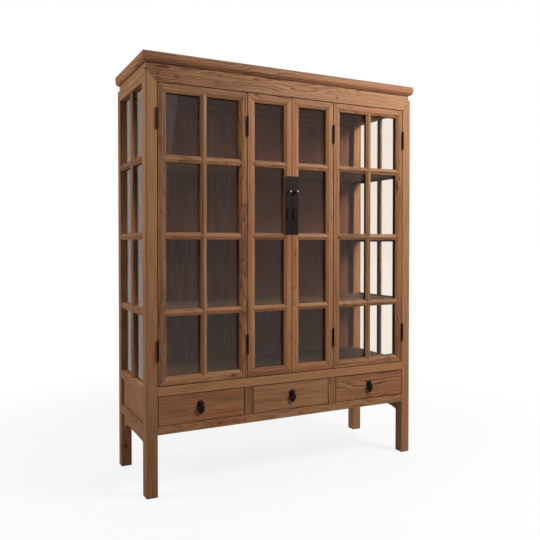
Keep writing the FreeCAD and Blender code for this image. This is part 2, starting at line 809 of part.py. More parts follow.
def drawer_frame():
    """Dividers between the drawers, and the runners and guides behind them."""
    dividers = []
    runners = []
    guides = []
    run_y = (front + rail_depth, rear_rail_front)
    runner_z = (bottom_rail_top - runner_thickness, bottom_rail_top)
    guide_z = (bottom_rail_top, bottom_rail_top + guide_height)
    half = drawer_opening_width / 2
    for i in (0, 1):
        left = drawer_centres[i] + half
        right = drawer_centres[i + 1] - half
        dividers.append(box((left, right), (front, front + rail_depth),
                            (bottom_rail_top, middle_rail_bottom)))
        runners.append(box((left - runner_overlap, right + runner_overlap), run_y, runner_z))
        guides.append(box((left - drawer_gap + guide_clearance, right + drawer_gap - guide_clearance),
                          run_y, guide_z))
    inner_wall = -half_width + rail_depth
    edge = -opening_half
    side_y = (front + post_size, rear_rail_front)
    outer_runner = box((inner_wall, edge + runner_overlap), side_y, runner_z).fuse(
        box((edge, edge + runner_overlap), run_y, runner_z)).removeSplitter()
    outer_guide = box((inner_wall, edge + drawer_gap - guide_clearance), side_y, guide_z)
    rear_post = box((-half_width, edge), (rear - post_size, rear), (0, total_height))
    outer_runner = outer_runner.cut(rear_post)
    outer_guide = outer_guide.cut(rear_post)
    runners.extend(both_sides(outer_runner))
    guides.extend(both_sides(outer_guide))
    return {
        "drawer_dividers": solids_of(dividers),
        "drawer_runners": solids_of(runners + guides),
    }


def pull_outline():
    """Half of the hanging drop's outline: (half width, depth below the pin) pairs.

    It starts at the eye, swells to full width and closes in a low point.
    """
    neck = pull_eye_width / 2
    half = pull_drop_width / 2
    points = []
    steps = 10
    for i in range(steps + 1):
        t = i / steps
        swell = math.sin(math.pi * t ** pull_swell_share)
        points.append((neck * (1 - t) + (half - neck / 2) * swell, pull_drop_length * t))
    return points


def drawer_pull(centre):
    """Domed rose with two ears and a pin, and the drop that hangs from the pin."""
    out = V(0, -1, 0)
    rose = cylinder(rose_radius, V(centre, front, pull_height), out, rose_edge)
    dome = Part.makeCone(rose_radius, rose_radius / 2, rose_dome,
                         V(centre, front - rose_edge, pull_height), out)
    pin_y = front - pull_pin_standoff
    along = V(1, 0, 0)
    eye_half = pull_eye_width / 2
    ears = []
    for side in (-1, 1):
        start = centre + side * (eye_half + knuckle_gap)
        x = (start, start + side * pull_ear_thickness)
        ears.append(box(x, (front, pin_y), grown((pull_height, pull_height), pull_ear_radius)))
        ears.append(cylinder(pull_ear_radius, V(min(x), pin_y, pull_height), along,
                             pull_ear_thickness))
    reach = eye_half + knuckle_gap + pull_ear_thickness
    pin = cylinder(pull_pin_radius, V(centre - reach, pin_y, pull_height), along, 2 * reach)
    rose = rose.fuse([dome] + ears + [pin]).removeSplitter()
    y0 = pin_y - pull_drop_thickness / 2
    outline = pull_outline()
    points = [V(centre + half, y0, pull_height - pull_eye_radius - depth) for half, depth in outline]
    points += [V(centre - half, y0, pull_height - pull_eye_radius - depth)
               for half, depth in outline[-2::-1]]
    blade = prism(points, V(0, pull_drop_thickness, 0))
    neck = box((centre - eye_half, centre + eye_half), (y0, y0 + pull_drop_thickness),
               (pull_height - 2 * pull_eye_radius, pull_height))
    eye = cylinder(pull_eye_radius, V(centre - eye_half, pin_y, pull_height), along, 2 * eye_half)
    bore = cylinder(pull_pin_radius + pin_clearance,
                    V(centre - reach, pin_y, pull_height), along, 2 * reach)
    drop = blade.fuse([neck, eye]).removeSplitter().cut(bore)
    return rose, drop


def drawer_pieces():
    nodes = {}
    for name, centre, pull_offset in zip(("left", "middle", "right"), drawer_centres, pull_offsets):
        half = drawer_opening_width / 2 - drawer_gap
        z = (bottom_rail_top + drawer_gap, middle_rail_bottom - drawer_gap)
        face = box((centre - half, centre + half), (front, front + drawer_front_thickness), z)
        back_y = rear_rail_front - drawer_back_gap
        side_y = (front + drawer_front_thickness, back_y)
        side_z = (bottom_rail_top + runner_clearance, z[1] - drawer_top_drop)
        inner = half - drawer_side_thickness
        left = box((centre - half, centre - inner), side_y, side_z)
        right = box((centre + inner, centre + half), side_y, side_z)
        back = box((centre - inner, centre + inner), (back_y - drawer_back_thickness, back_y), side_z)
        low = side_z[0] + drawer_bottom_rise
        groove_x = grown((centre - inner, centre + inner), drawer_groove_depth)
        groove_y = grown((front + drawer_front_thickness, back_y - drawer_back_thickness),
                         drawer_groove_depth)
        bottom = box(grown(groove_x, -joint_clearance), grown(groove_y, -joint_clearance),
                     (low, low + drawer_bottom_thickness))
        groove = box(groove_x, groove_y, grown((low, low + drawer_bottom_thickness), joint_clearance / 2))
        face = face.cut(groove)
        sides = [piece.cut(groove) for piece in (left, right, back)]
        rose, drop = drawer_pull(centre + pull_offset)
        nodes[name + "_drawer_front"] = face
        nodes[name + "_drawer_box"] = solids_of(sides + [bottom])
        nodes[name + "_pull_rose"] = rose
        nodes[name + "_pull_drop"] = drop
    return nodes


def main():
    os.makedirs("parts", exist_ok=True)
    nodes = {}
    for group in (carcass_frame, top_pieces, side_pieces, inner_pieces, drawer_frame,
                  door_pieces, drawer_pieces):
        nodes.update(group())
    for name, shape in nodes.items():
        shape.exportStep("parts/" + name + ".step")
        print(name, len(shape.Solids), shape.isValid(), round(shape.Volume))


main()
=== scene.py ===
"""Looks of a tall reclaimed-pine display cabinet with folding glazed doors.

Most timbers are grid surfaces worked out with numpy: an outline carried along a straight
line, with its ends cut where the joint cuts the real board. The rest are softened copies of
the frame's solids. Metres, in the row's frame: X to the viewer's right, Y to the back, Z up.
"""
import json
import math

import bmesh
import bpy
import numpy as np
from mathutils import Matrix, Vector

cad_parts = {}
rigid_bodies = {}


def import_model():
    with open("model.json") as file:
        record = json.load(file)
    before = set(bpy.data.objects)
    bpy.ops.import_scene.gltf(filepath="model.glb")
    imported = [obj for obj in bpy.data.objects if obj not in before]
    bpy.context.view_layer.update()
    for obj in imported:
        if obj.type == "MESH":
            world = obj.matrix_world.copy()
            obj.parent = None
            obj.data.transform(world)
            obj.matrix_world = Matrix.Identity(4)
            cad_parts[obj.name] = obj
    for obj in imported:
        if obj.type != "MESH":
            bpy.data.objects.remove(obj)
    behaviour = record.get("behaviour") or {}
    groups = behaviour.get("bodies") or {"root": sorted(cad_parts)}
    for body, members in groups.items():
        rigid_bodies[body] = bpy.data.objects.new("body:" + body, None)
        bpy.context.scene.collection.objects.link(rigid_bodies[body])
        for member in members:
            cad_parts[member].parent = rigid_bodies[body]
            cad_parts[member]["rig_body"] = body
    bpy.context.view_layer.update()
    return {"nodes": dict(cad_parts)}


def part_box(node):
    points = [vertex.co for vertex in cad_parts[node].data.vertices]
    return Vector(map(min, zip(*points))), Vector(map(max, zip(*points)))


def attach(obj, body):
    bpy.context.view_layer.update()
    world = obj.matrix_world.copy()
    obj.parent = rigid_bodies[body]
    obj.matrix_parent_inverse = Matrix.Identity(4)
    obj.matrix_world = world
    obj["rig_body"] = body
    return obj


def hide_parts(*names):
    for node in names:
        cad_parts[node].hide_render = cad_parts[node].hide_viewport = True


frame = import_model()

bl_info = {
    "name": "Glazed display cabinet",
    "version": (1, 0, 0),
    "blender": (4, 5, 0),
    "location": "View3D > Sidebar > Cabinet",
    "description": "Dresses the cabinet's solids in boards, glass and iron",
    "category": "Add Mesh",
}

MM = 0.001
# Points closer than this are one point.
TOUCHING = 0.01 * MM
ROOT = "carcass"


def span(node):
    """Lowest and highest corner of a CAD node, as arrays in metres."""
    low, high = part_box(node)
    return np.array(low), np.array(high)


# Places that the frame gives
POST_LOW, POST_HIGH = span("front_left_post")
FRONT = float(POST_LOW[1])
REAR = float(span("rear_left_post")[1][1])
HALF_WIDTH = float(-POST_LOW[0])
POST = float(POST_HIGH[0] - POST_LOW[0])
OPENING_HALF = HALF_WIDTH - POST
OPENING_TOP = float(span("front_top_rail")[0][2])
MITRE_TOP = OPENING_TOP + POST
CORNICE_LOW, CORNICE_HIGH = span("cornice")

# Sizes of mouldings that a box can't tell
CORNER_RADIUS = 9 * MM
SPLAY_HEIGHT = 7 * MM
NECK_RECESS = 9 * MM
FASCIA = 18 * MM
BEAD = 3 * MM
CLOSING = 22 * MM
BAR_WIDTH = 32 * MM
BAR_SLOPE = 7 * MM
BAR_DEPTH = 22 * MM
SIDE_BAR_DEPTH = 18 * MM
STILE = 40 * MM
DOOR_TOP_RAIL = 40 * MM
DOOR_BOTTOM_RAIL = 40 * MM
DOOR_THICKNESS = 32 * MM

# Where painted shade starts behind the front and how far it spreads, how far the joints' dark
# fades round a three-way mitre, and how far the back boards' edges are widened
PAINTED_SHADE_DEPTH = BAR_SLOPE + 0.5 * MM
PAINTED_SHADE_REACH = 1.1 * MM
MITRE_FADE = 16 * MM
BACK_BOARD_REACH = 0.24 * MM


def linear(code):
    """Linear colour of an sRGB hex code."""
    value = np.array([int(code[i:i + 2], 16) for i in (0, 2, 4)]) / 255
    low = value / 12.92
    high = ((value + 0.055) / 1.055) ** 2.4
    return tuple(np.where(value <= 0.04045, low, high)) + (1.0,)


def length_setting(name, description, default):
    """A length that the sidebar shows."""
    return bpy.props.FloatProperty(
        name=name, description=description, default=default, unit="LENGTH")


def colour_setting(name, description, code):
    """A colour that the sidebar shows, from its sRGB hex code."""
    return bpy.props.FloatVectorProperty(
        name=name, description=description, size=4, subtype="COLOR", default=linear(code))


class CabinetSizes(bpy.types.PropertyGroup):
    """Sizes of the timber's edges and joints."""
    arris: length_setting("Arris", "Radius of the worn edges along a board", 1.8 * MM)
    door_arris: length_setting(
        "Door arris", "Radius of the edges of door members and bars", 1.2 * MM)
    end_bevel: length_setting(
        "End bevel", "Small bevel at a board's ends, seen as the joint line", 0.6 * MM)
    foot_bevel: length_setting("Foot bevel", "Worn lower edge of the legs", 3 * MM)
    joint_shade: length_setting(
        "Joint shade", "How far the dark of a joint line reaches along the board", 1.8 * MM)
    ring_width: length_setting("Ring width", "Distance between growth rings", 6 * MM)


class CabinetColours(bpy.types.PropertyGroup):
    """Colours of the finishes."""
    early_wood: colour_setting("Early wood", "Pale wood between the rings", "A87A54")
    late_wood: colour_setting("Late wood", "Dark line of a ring", "5C3A25")
    knot: colour_setting("Knot", "Knots and old dark stains", "4A2B1E")
    inner_wood: colour_setting("Inner wood", "Shelves and drawer boxes", "7C5D47")
    back_wood: colour_setting("Back boards", "Dark stained back", "8E5F4A")
    iron: colour_setting("Iron", "Black waxed iron", "211C1A")


def sizes():
    """The sizes set in the sidebar."""
    return bpy.context.scene.cabinet_sizes


def colours():
    """The colours set in the sidebar."""
    return bpy.context.scene.cabinet_colours


def draws(name, number=0):
    """Random numbers that belong to one board, the same in every run."""
    return np.random.default_rng([number] + list(name.encode()))


def solids(node):
    """Low and high corners of each separate solid in a CAD node.

    Corners of triangles that share a place get one label, and labels spread along the
    triangles' sides until they stay, so each solid ends with one label.
    """
    mesh = frame["nodes"][node].data
    places = np.empty(len(mesh.vertices) * 3)
    mesh.vertices.foreach_get("co", places)
    places = places.reshape(-1, 3)
    corners = np.empty(len(mesh.loops), int)
    mesh.loops.foreach_get("vertex_index", corners)
    grid = np.round(places / TOUCHING).astype(int)
    _, same = np.unique(grid, axis=0, return_inverse=True)
    triangles = same.reshape(-1)[corners].reshape(-1, 3)
    label = np.arange(same.max() + 1)
    while True:
        least = label[triangles].min(1)
        new = label.copy()
        np.minimum.at(new, triangles.reshape(-1), np.repeat(least, 3))
        new = new[new]
        if (new == label).all():
            break
        label = new
    owner = label[same.reshape(-1)]
    found = [(places[owner == k].min(0), places[owner == k].max(0)) for k in np.unique(owner)]
    return sorted(found, key=lambda pair: tuple(np.round(pair[0], 4)))


def rounded(corners, radii, steps=3, support=3 * MM):
    """A closed outline with its corners rounded, and how much each point lies on an edge.

    A corner c becomes the curve (1-t)^2 p + 2t(1-t) c + t^2 q, where p and q lie one radius
    before and after it on its two sides. One more point on each side, a little further out,
    keeps the flat between corners flat. The second result is 1 on the curve and 0 elsewhere.
    """
    corners = np.array(corners, float)
    radii = np.broadcast_to(np.array(radii, float), len(corners))
    before = np.roll(corners, 1, 0) - corners
    after = np.roll(corners, -1, 0) - corners
    long_before = np.linalg.norm(before, axis=1)
    long_after = np.linalg.norm(after, axis=1)
    before = before / long_before[:, None]
    after = after / long_after[:, None]
    reach = np.minimum(radii, 0.45 * np.minimum(long_before, long_after))
    ease = np.minimum(reach + support, 0.48 * np.minimum(long_before, long_after))
    t = np.linspace(0, 1, steps + 1)[None, :, None]
    p = (corners + before * reach[:, None])[:, None, :]
    q = (corners + after * reach[:, None])[:, None, :]
    curve = (1 - t) ** 2 * p + 2 * t * (1 - t) * corners[:, None, :] + t ** 2 * q
    first = (corners + before * ease[:, None])[:, None, :]
    last = (corners + after * ease[:, None])[:, None, :]
    outline = np.concatenate([first, curve, last], 1)
    worn = np.zeros(outline.shape[:2])
    worn[:, 1:-1] = 1
    return outline.reshape(-1, 2), worn.reshape(-1)


def counter_clockwise(outline, worn):
    """The same outline, turned so that it runs counter-clockwise."""
    a, b = outline.T
    area = np.sum(a * np.roll(b, -1) - b * np.roll(a, -1))
    return (outline, worn) if area > 0 else (outline[::-1], worn[::-1])


def tube_faces(count, rows):
    """Faces of a tube whose rows have count points each. Quads run between the rows, and a
    fan closes each end round one of the two points that follow the last row."""
    i = np.arange(count)
    j = (i + 1) % count
    quads = np.concatenate([np.column_stack([k * count + i, k * count + j,
                                             (k + 1) * count + j, (k + 1) * count + i])
                            for k in range(rows - 1)])
    base = (rows - 1) * count
    hub = rows * count
    triangles = np.concatenate([np.column_stack([j, i, np.full(count, hub)]),
                                np.column_stack([base + i, base + j, np.full(count, hub + 1)])])
    return {"quads": quads, "triangles": triangles}


def sweep(outline, worn, axis, low, high, heart=None, bevel=None, shade=None):
    """A closed outline carried along an axis, with its ends cut to any slope.

    The outline lies across the axis, in the two axes that follow it in X, Y, Z order. At the
    outline point (a, b) the board runs from low(a, b) to high(a, b). Rows of the grid stand
    at set distances from either end, and the end rows draw in by the bevel. Each end is
    closed by a fan round the heart, a point inside the outline, which lies on the end's cut.
    Gives points, quads, triangles and how worn and how near to a joint each point is.
    """
    outline, worn = counter_clockwise(np.array(outline), np.array(worn))
    bevel = np.broadcast_to(sizes().end_bevel if bevel is None else bevel, 2)
    shade = sizes().joint_shade if shade is None else shade
    heart = outline.mean(0) if heart is None else np.array(heart)
    ahead = np.roll(outline, -1, 0) - np.roll(outline, 1, 0)
    inward = np.stack([-ahead[:, 1], ahead[:, 0]], 1)
    inward /= np.linalg.norm(inward, axis=1)[:, None] + 1e-12
    drawn = [outline + inward * size for size in bevel]
    first = ((drawn[0], 0, 1), (outline, bevel[0], 1), (outline, bevel[0] + shade, 0))
    last = ((outline, bevel[1] + shade, 0), (outline, bevel[1], 1), (drawn[1], 0, 1))
    rows = [(place, low(*place.T) + offset, near) for place, offset, near in first]
    rows += [(place, high(*place.T) - offset, near) for place, offset, near in last]
    count = len(outline)
    points = np.concatenate([np.column_stack([np.broadcast_to(along, count), place])
                             for place, along, _ in rows])
    joint = np.concatenate([np.full(count, near, float) for _, _, near in rows])
    ends = [[float(np.asarray(cut(*heart))), heart[0], heart[1]] for cut in (low, high)]
    points = np.concatenate([points, ends])
    placed = np.empty_like(points)
    placed[:, [axis, (axis + 1) % 3, (axis + 2) % 3]] = points
    return {"points": placed, **tube_faces(count, len(rows)),
            "worn": np.concatenate([np.tile(worn, len(rows)), [0, 0]]),
            "joint": np.concatenate([joint, [1, 1]])}


def rectangle(low, high, axis):
    """Corners of a box's section across an axis."""
    a, b = (axis + 1) % 3, (axis + 2) % 3
    return [(low[a], low[b]), (high[a], low[b]), (high[a], high[b]), (low[a], high[b])]


def prism(outline, worn, axis, low, high, **ends):
    """An outline carried straight along an axis, from one level to another."""
    return sweep(outline, worn, axis, lambda a, b: low + 0 * a, lambda a, b: high + 0 * a, **ends)


# What single boards show. cast is (paler, redder, stronger figure), the falloff entry how much
# paler the board's far end is painted than its near one, a painted falloff of light, heart the
# distance of the tree's heart (across the face, behind it) in mm, and a knot (along, across,
# radius) in mm.
BOARD_LOOKS = {
    ("front_top_rail", 0): {"cast": (0.0, 0.0, 0.25), "fade": 1.66, "heart": (-30, 30), "knots": (
        (-594, 1902, 8), (-684, 1904, 6), (-399, 1898, 5), (263, 1896, 5))},
    ("cornice_front", 0): {"cast": (0.1, 0.0, 0.5), "fade": 0.7, "heart": (24, 20)},
    ("side_top_rail", 0): {"cast": (0.0, -0.5, 0.0)},
    ("front_left_post", 0): {"cast": (0.15, -0.2, -0.4), "fade": 1.6, "heart": (70, 40)},
    ("front_right_post", 0): {"cast": (0.25, -0.35, -0.2), "heart": (-60, 40)},
    # The rear posts' paleness and falloff are painted light.
    ("rear_left_post", 0): {"cast": (0.6, -0.1, -0.1), "fade": -1.3, "knots": ((104, -718, 9),)},
    ("rear_right_post", 0): {"cast": (0.7, -0.8, 0.0), "fade": -0.9},
    ("left_wide_door_frame", 0): {"cast": (-0.5, -0.5, -0.4), "knots": (
        (1600, -674, 4), (1613, -677, 3))},
    ("left_wide_door_frame", 1): {"cast": (-0.3, 0.6, -0.2)},
    ("left_wide_door_frame", 3): {"cast": (0.0, -0.3, -0.5)},
    ("left_wide_door_frame", 2): {"knots": ((-316, 521, 9),)},
    ("left_narrow_door_frame", 1): {"cast": (0.5, 0.3, -0.2), "knots": ((690, -8, 3),)},
    ("left_narrow_door_frame", 2): {"cast": (-0.4, 0.9, 0.2)},
    ("left_narrow_door_frame", 3): {"cast": (-0.1, 0.7, 0.2)},
    ("right_narrow_door_frame", 0): {"cast": (0.5, 0.5, -0.2), "knots": ((1094, 20, 5),)},
    ("right_narrow_door_bars", 3): {"cast": (0.3, 0.0, 0.2)},
    ("right_narrow_door_bars", 0): {"knots": ((45, 831, 4),)},
    ("right_wide_door_frame", 0): {"cast": (0.2, 0.2, 0.3)},
    ("right_wide_door_frame", 1): {"cast": (-0.1, 0.35, 0.4)},
    ("right_wide_door_frame", 3): {"cast": (0.3, -0.35, -0.1)},
    ("right_narrow_door_frame", 1): {"cast": (0.25, 0.0, 0.0)},
    ("right_narrow_door_frame", 2): {"cast": (0.2, -0.1, 0.3)},
    ("front_bottom_rail", 0): {"cast": (0.0, 0.1, 0.2), "knots": (
        (-387, 301, 5), (-303, 306, 4))},
    ("front_middle_rail", 0): {"cast": (0.35, 0.0, -0.4)},
    ("left_drawer_front", 0): {"cast": (0.45, 0.0, -0.7), "heart": (90, 30)},
    ("middle_drawer_front", 0): {"cast": (-0.5, 0.0, -0.85), "heart": (80, 60)},
    ("right_drawer_front", 0): {"cast": (-0.35, -0.1, 0.7), "heart": (-198, 380)},
    # The back boards', shelves' and floor board's paleness and falloff are painted light, lighter
    # where more light comes in through the glass.
    **{("back_boards", number): {"cast": (paler, 0, 0)}
       for number, paler in enumerate((-0.35, -0.35, 0.0, 0.7, 1.0, -0.3))},
    ("upper_shelf", 0): {"cast": (1.6, 0, 0)},
    ("lower_shelf", 0): {"cast": (-0.3, 0, 0), "fade": 2.4},
    ("floor_board", 0): {"cast": (-1.6, 0, 0)},
}
# How dark the painted shade in the gap over and under each drawer is.
DRAWER_GAP_SHADE = {"left": 0.4, "middle": 0.4, "right": 1.0}
KNOT_KEYS = ("knot_0", "knot_1", "knot_2", "knot_3")
# A knot's width over its length along the board, where its core ends in radii, how fast its
# push on the rings falls off, and that push in rings.
KNOT_STRETCH = 0.62
KNOT_CORE = 1.4
KNOT_FALL = -0.06
KNOT_PUSH = 2.4


def grained(part, axis, depth, name, number=0, cast=(0.0, 0.0, 0.0)):
    """Gives a board its place in the tree it was sawn from.

    The grain coordinate is (distance along the board, distance across its face from the
    heart of the tree, distance through its thickness from the heart), in metres. Each board
    starts at its own random distance along, so that no two boards match, and lies at a
    random place from the heart unless BOARD_LOOKS says where. The board keeps the way to
    each of its knots, which is a straight function of the place, with the knot's radius.
    """
    across = 3 - axis - depth
    rng = draws(name, number)
    points = part["points"]
    middle = (points.min(0) + points.max(0)) / 2
    look = BOARD_LOOKS.get((name, number), {})
    drawn_heart = rng.uniform((-70, 15), (70, 55))
    heart = np.array(look.get("heart", drawn_heart)) * MM
    part["grain"] = np.column_stack([
        points[:, axis] + rng.uniform(0, 60),
        points[:, across] - middle[across] + heart[0],
        middle[depth] - points[:, depth] + heart[1]])
    drawn_cast = rng.normal(0, 1, 3) * (0.22, 0.3, 0.25)
    # A listed falloff paints the board paler toward one end, a painted falloff of light.
    share = (points[:, axis] - points[:, axis].min()) / np.ptp(points[:, axis])
    part["cast"] = drawn_cast + look.get("cast", cast) + np.outer(
        share - 0.5, (look.get("fade", 0.0), 0, 0))
    knots = list(look.get("knots", ()))
    for key, knot in zip(KNOT_KEYS, knots + [(0, 0, 0)] * len(KNOT_KEYS)):
        part[key] = np.column_stack([points[:, axis] - knot[0] * MM,
                                     points[:, across] - knot[1] * MM,
                                     np.full(len(points), knot[2] * MM)])
    return part


def plain_board(low, high, axis, depth, name, number=0, radius=None, wear=1.0):
    """A straight board with rounded long edges that fills the box from low to high. wear
    is how pale its edges are rubbed."""
    radius = sizes().arris if radius is None else radius
    outline, worn = rounded(rectangle(low, high, axis), radius)
    part = prism(outline, worn * wear, axis, low[axis], high[axis])
    return grained(part, axis, depth, name, number)


BOARD_KEYS = ("grain", "cast") + KNOT_KEYS


def write_attribute(mesh, key, values):
    """Writes one number or one vector per point."""
    kind, field = ("FLOAT_VECTOR", "vector") if values.ndim == 2 else ("FLOAT", "value")
    mesh.attributes.new(key, kind, "POINT").data.foreach_set(field, values.reshape(-1))


def make_piece(name, parts, material, body, node, smooth_angle=40):
    """Joins grid surfaces into one mesh object that rides on a body and stands for a node."""
    points = np.concatenate([part["points"] for part in parts])
    starts = np.cumsum([0] + [len(part["points"]) for part in parts])
    loops = []
    counts = []
    for kind, sides in (("quads", 4), ("triangles", 3)):
        for part, start in zip(parts, starts):
            faces = part.get(kind)
            if faces is not None and len(faces):
                loops.append((faces + start).reshape(-1))
                counts.append(np.full(len(faces), sides))
    loops = np.concatenate(loops)
    counts = np.concatenate(counts)
    mesh = bpy.data.meshes.new(name)
    mesh.vertices.add(len(points))
    mesh.vertices.foreach_set("co", points.reshape(-1))
    mesh.loops.add(len(loops))
    mesh.loops.foreach_set("vertex_index", loops)
    mesh.polygons.add(len(counts))
    mesh.polygons.foreach_set("loop_start", np.cumsum(counts) - counts)
    mesh.update(calc_edges=True)
    for key in BOARD_KEYS + ("worn", "joint"):
        if key in parts[0]:
            write_attribute(mesh, key, np.concatenate([part[key] for part in parts]))
    mesh.polygons.foreach_set("use_smooth", np.ones(len(counts), bool))
    mesh.set_sharp_from_angle(angle=math.radians(smooth_angle))
    mesh.materials.append(material)
    mesh.validate()
    piece = bpy.data.objects.new(name, mesh)
    bpy.context.scene.collection.objects.link(piece)
    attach(piece, body)
    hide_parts(node)


def timber(node, parts, finish="pine", body=ROOT):
    """Makes the piece that stands for a timber node."""
    make_piece(node + "_timber", parts, finishes()[finish], body, node)


def add(tree, kind, settings=None, inputs=None):
    """Adds one node. settings are its properties, inputs its sockets: a value or a link."""
    node = tree.nodes.new(kind)
    for key, value in (settings or {}).items():
        setattr(node, key, value)
    for key, value in (inputs or {}).items():
        if isinstance(value, bpy.types.NodeSocket):
            tree.links.new(value, node.inputs[key])
        else:
            node.inputs[key].default_value = value
    return node


def ramp(tree, factor, stops):
    """A colour ramp through (place, colour) stops."""
    node = add(tree, "ShaderNodeValToRGB", inputs={"Fac": factor})
    elements = node.color_ramp.elements
    while len(elements) < len(stops):
        elements.new(0.5)
    for element, (place, colour) in zip(elements, stops):
        element.position = place
        element.color = colour
    return node.outputs["Color"]


def empty_tree(owner):
    """The node tree of a material or world, with nothing in it."""
    owner.use_nodes = True
    owner.node_tree.nodes.clear()
    return owner.node_tree


def start_material(name):
    """The node tree of a new material, with its Principled shader."""
    tree = empty_tree(bpy.data.materials.new(name))
    shader = add(tree, "ShaderNodeBsdfPrincipled")
    add(tree, "ShaderNodeOutputMaterial", inputs={"Surface": shader.outputs["BSDF"]})
    return tree, shader


def grey(value):
    """A grey with full alpha."""
    return (value, value, value, 1.0)


def math_node(tree, operation, first, second=0.0, clamp=False):
    """The result of a sum on one or two numbers."""
    node = add(tree, "ShaderNodeMath", {"operation": operation, "use_clamp": clamp},
               {0: first, 1: second})
    return node.outputs[0]


def times(tree, first, second, clamp=False):
    """The product of two numbers."""
    return math_node(tree, "MULTIPLY", first, second, clamp)


def plus(tree, first, second, clamp=False):
    """The sum of two numbers."""
    return math_node(tree, "ADD", first, second, clamp)


def attribute(tree, key, output="Fac"):
    """An attribute that the boards' points carry."""
    return add(tree, "ShaderNodeAttribute", {"attribute_name": key}).outputs[output]


def split_vector(tree, vector):
    """The three parts of a vector."""
    return add(tree, "ShaderNodeSeparateXYZ", inputs={0: vector}).outputs


def noise(tree, place, scale, detail, roughness=0.5):
    """Cloudy noise at a place."""
    return add(tree, "ShaderNodeTexNoise", inputs={
        "Vector": place, "Scale": scale, "Detail": detail, "Roughness": roughness}).outputs


def ranged(tree, value, start, end, low=0.0, high=1.0, kind="LINEAR"):
    """A value carried from the range start to end into the range low to high."""
    return add(tree, "ShaderNodeMapRange", {"interpolation_type": kind}, {
        "Value": value, "From Min": start, "From Max": end, "To Min": low,
        "To Max": high}).outputs[0]


def vector_node(tree, operation, first, second=(0.0, 0.0, 0.0)):
    """The outputs of a vector node: a vector is output 0 and a length or a dot product 1."""
    return add(tree, "ShaderNodeVectorMath", {"operation": operation},
               {0: first, 1: second}).outputs


def mixed(tree, factor, first, second, blend="MIX"):
    """Two colours, mixed."""
    node = add(tree, "ShaderNodeMix", {"data_type": "RGBA", "blend_type": blend},
               {"Factor": factor, 6: first, 7: second})
    return node.outputs[2]


def knot_shares(tree):
    """How far a place lies in a knot, and how far the rings are pushed out by it.

    With n the distance from the knot's centre over its radius, less along the board than
    across it, the dark core is KNOT_CORE - n and the push is exp(KNOT_FALL n^2).
    """
    push, core = 0.0, 0.0
    for key in KNOT_KEYS:
        vector = attribute(tree, key, "Vector")
        radius = math_node(tree, "MAXIMUM", split_vector(tree, vector)[2], TOUCHING)
        flat = vector_node(tree, "MULTIPLY", vector, (KNOT_STRETCH, 1.0, 0.0))[0]
        n = math_node(tree, "DIVIDE", vector_node(tree, "LENGTH", flat)[1], radius)
        fall = times(tree, times(tree, n, n), KNOT_FALL)
        push = plus(tree, math_node(tree, "EXPONENT", fall), push)
        core = math_node(tree, "MAXIMUM", math_node(tree, "SUBTRACT", KNOT_CORE, n, True), core)
    return core, push


def streaks(tree, grain, along, across, detail=3.0):
    """Noise drawn out along the board: its size is 1 / along by 1 / across in metres."""
    place = vector_node(tree, "MULTIPLY", grain, (along, across, across))[0]
    return noise(tree, place, 1.0, detail, 0.58)


def centred(tree, value, amplitude):
    """Noise around 0.5 turned to run about zero."""
    return times(tree, math_node(tree, "SUBTRACT", value, 0.5), amplitude)


def summed(tree, *terms):
    """The sum of any count of numbers."""
    total = terms[0]
    for term in terms[1:]:
        total = plus(tree, total, term)
    return total


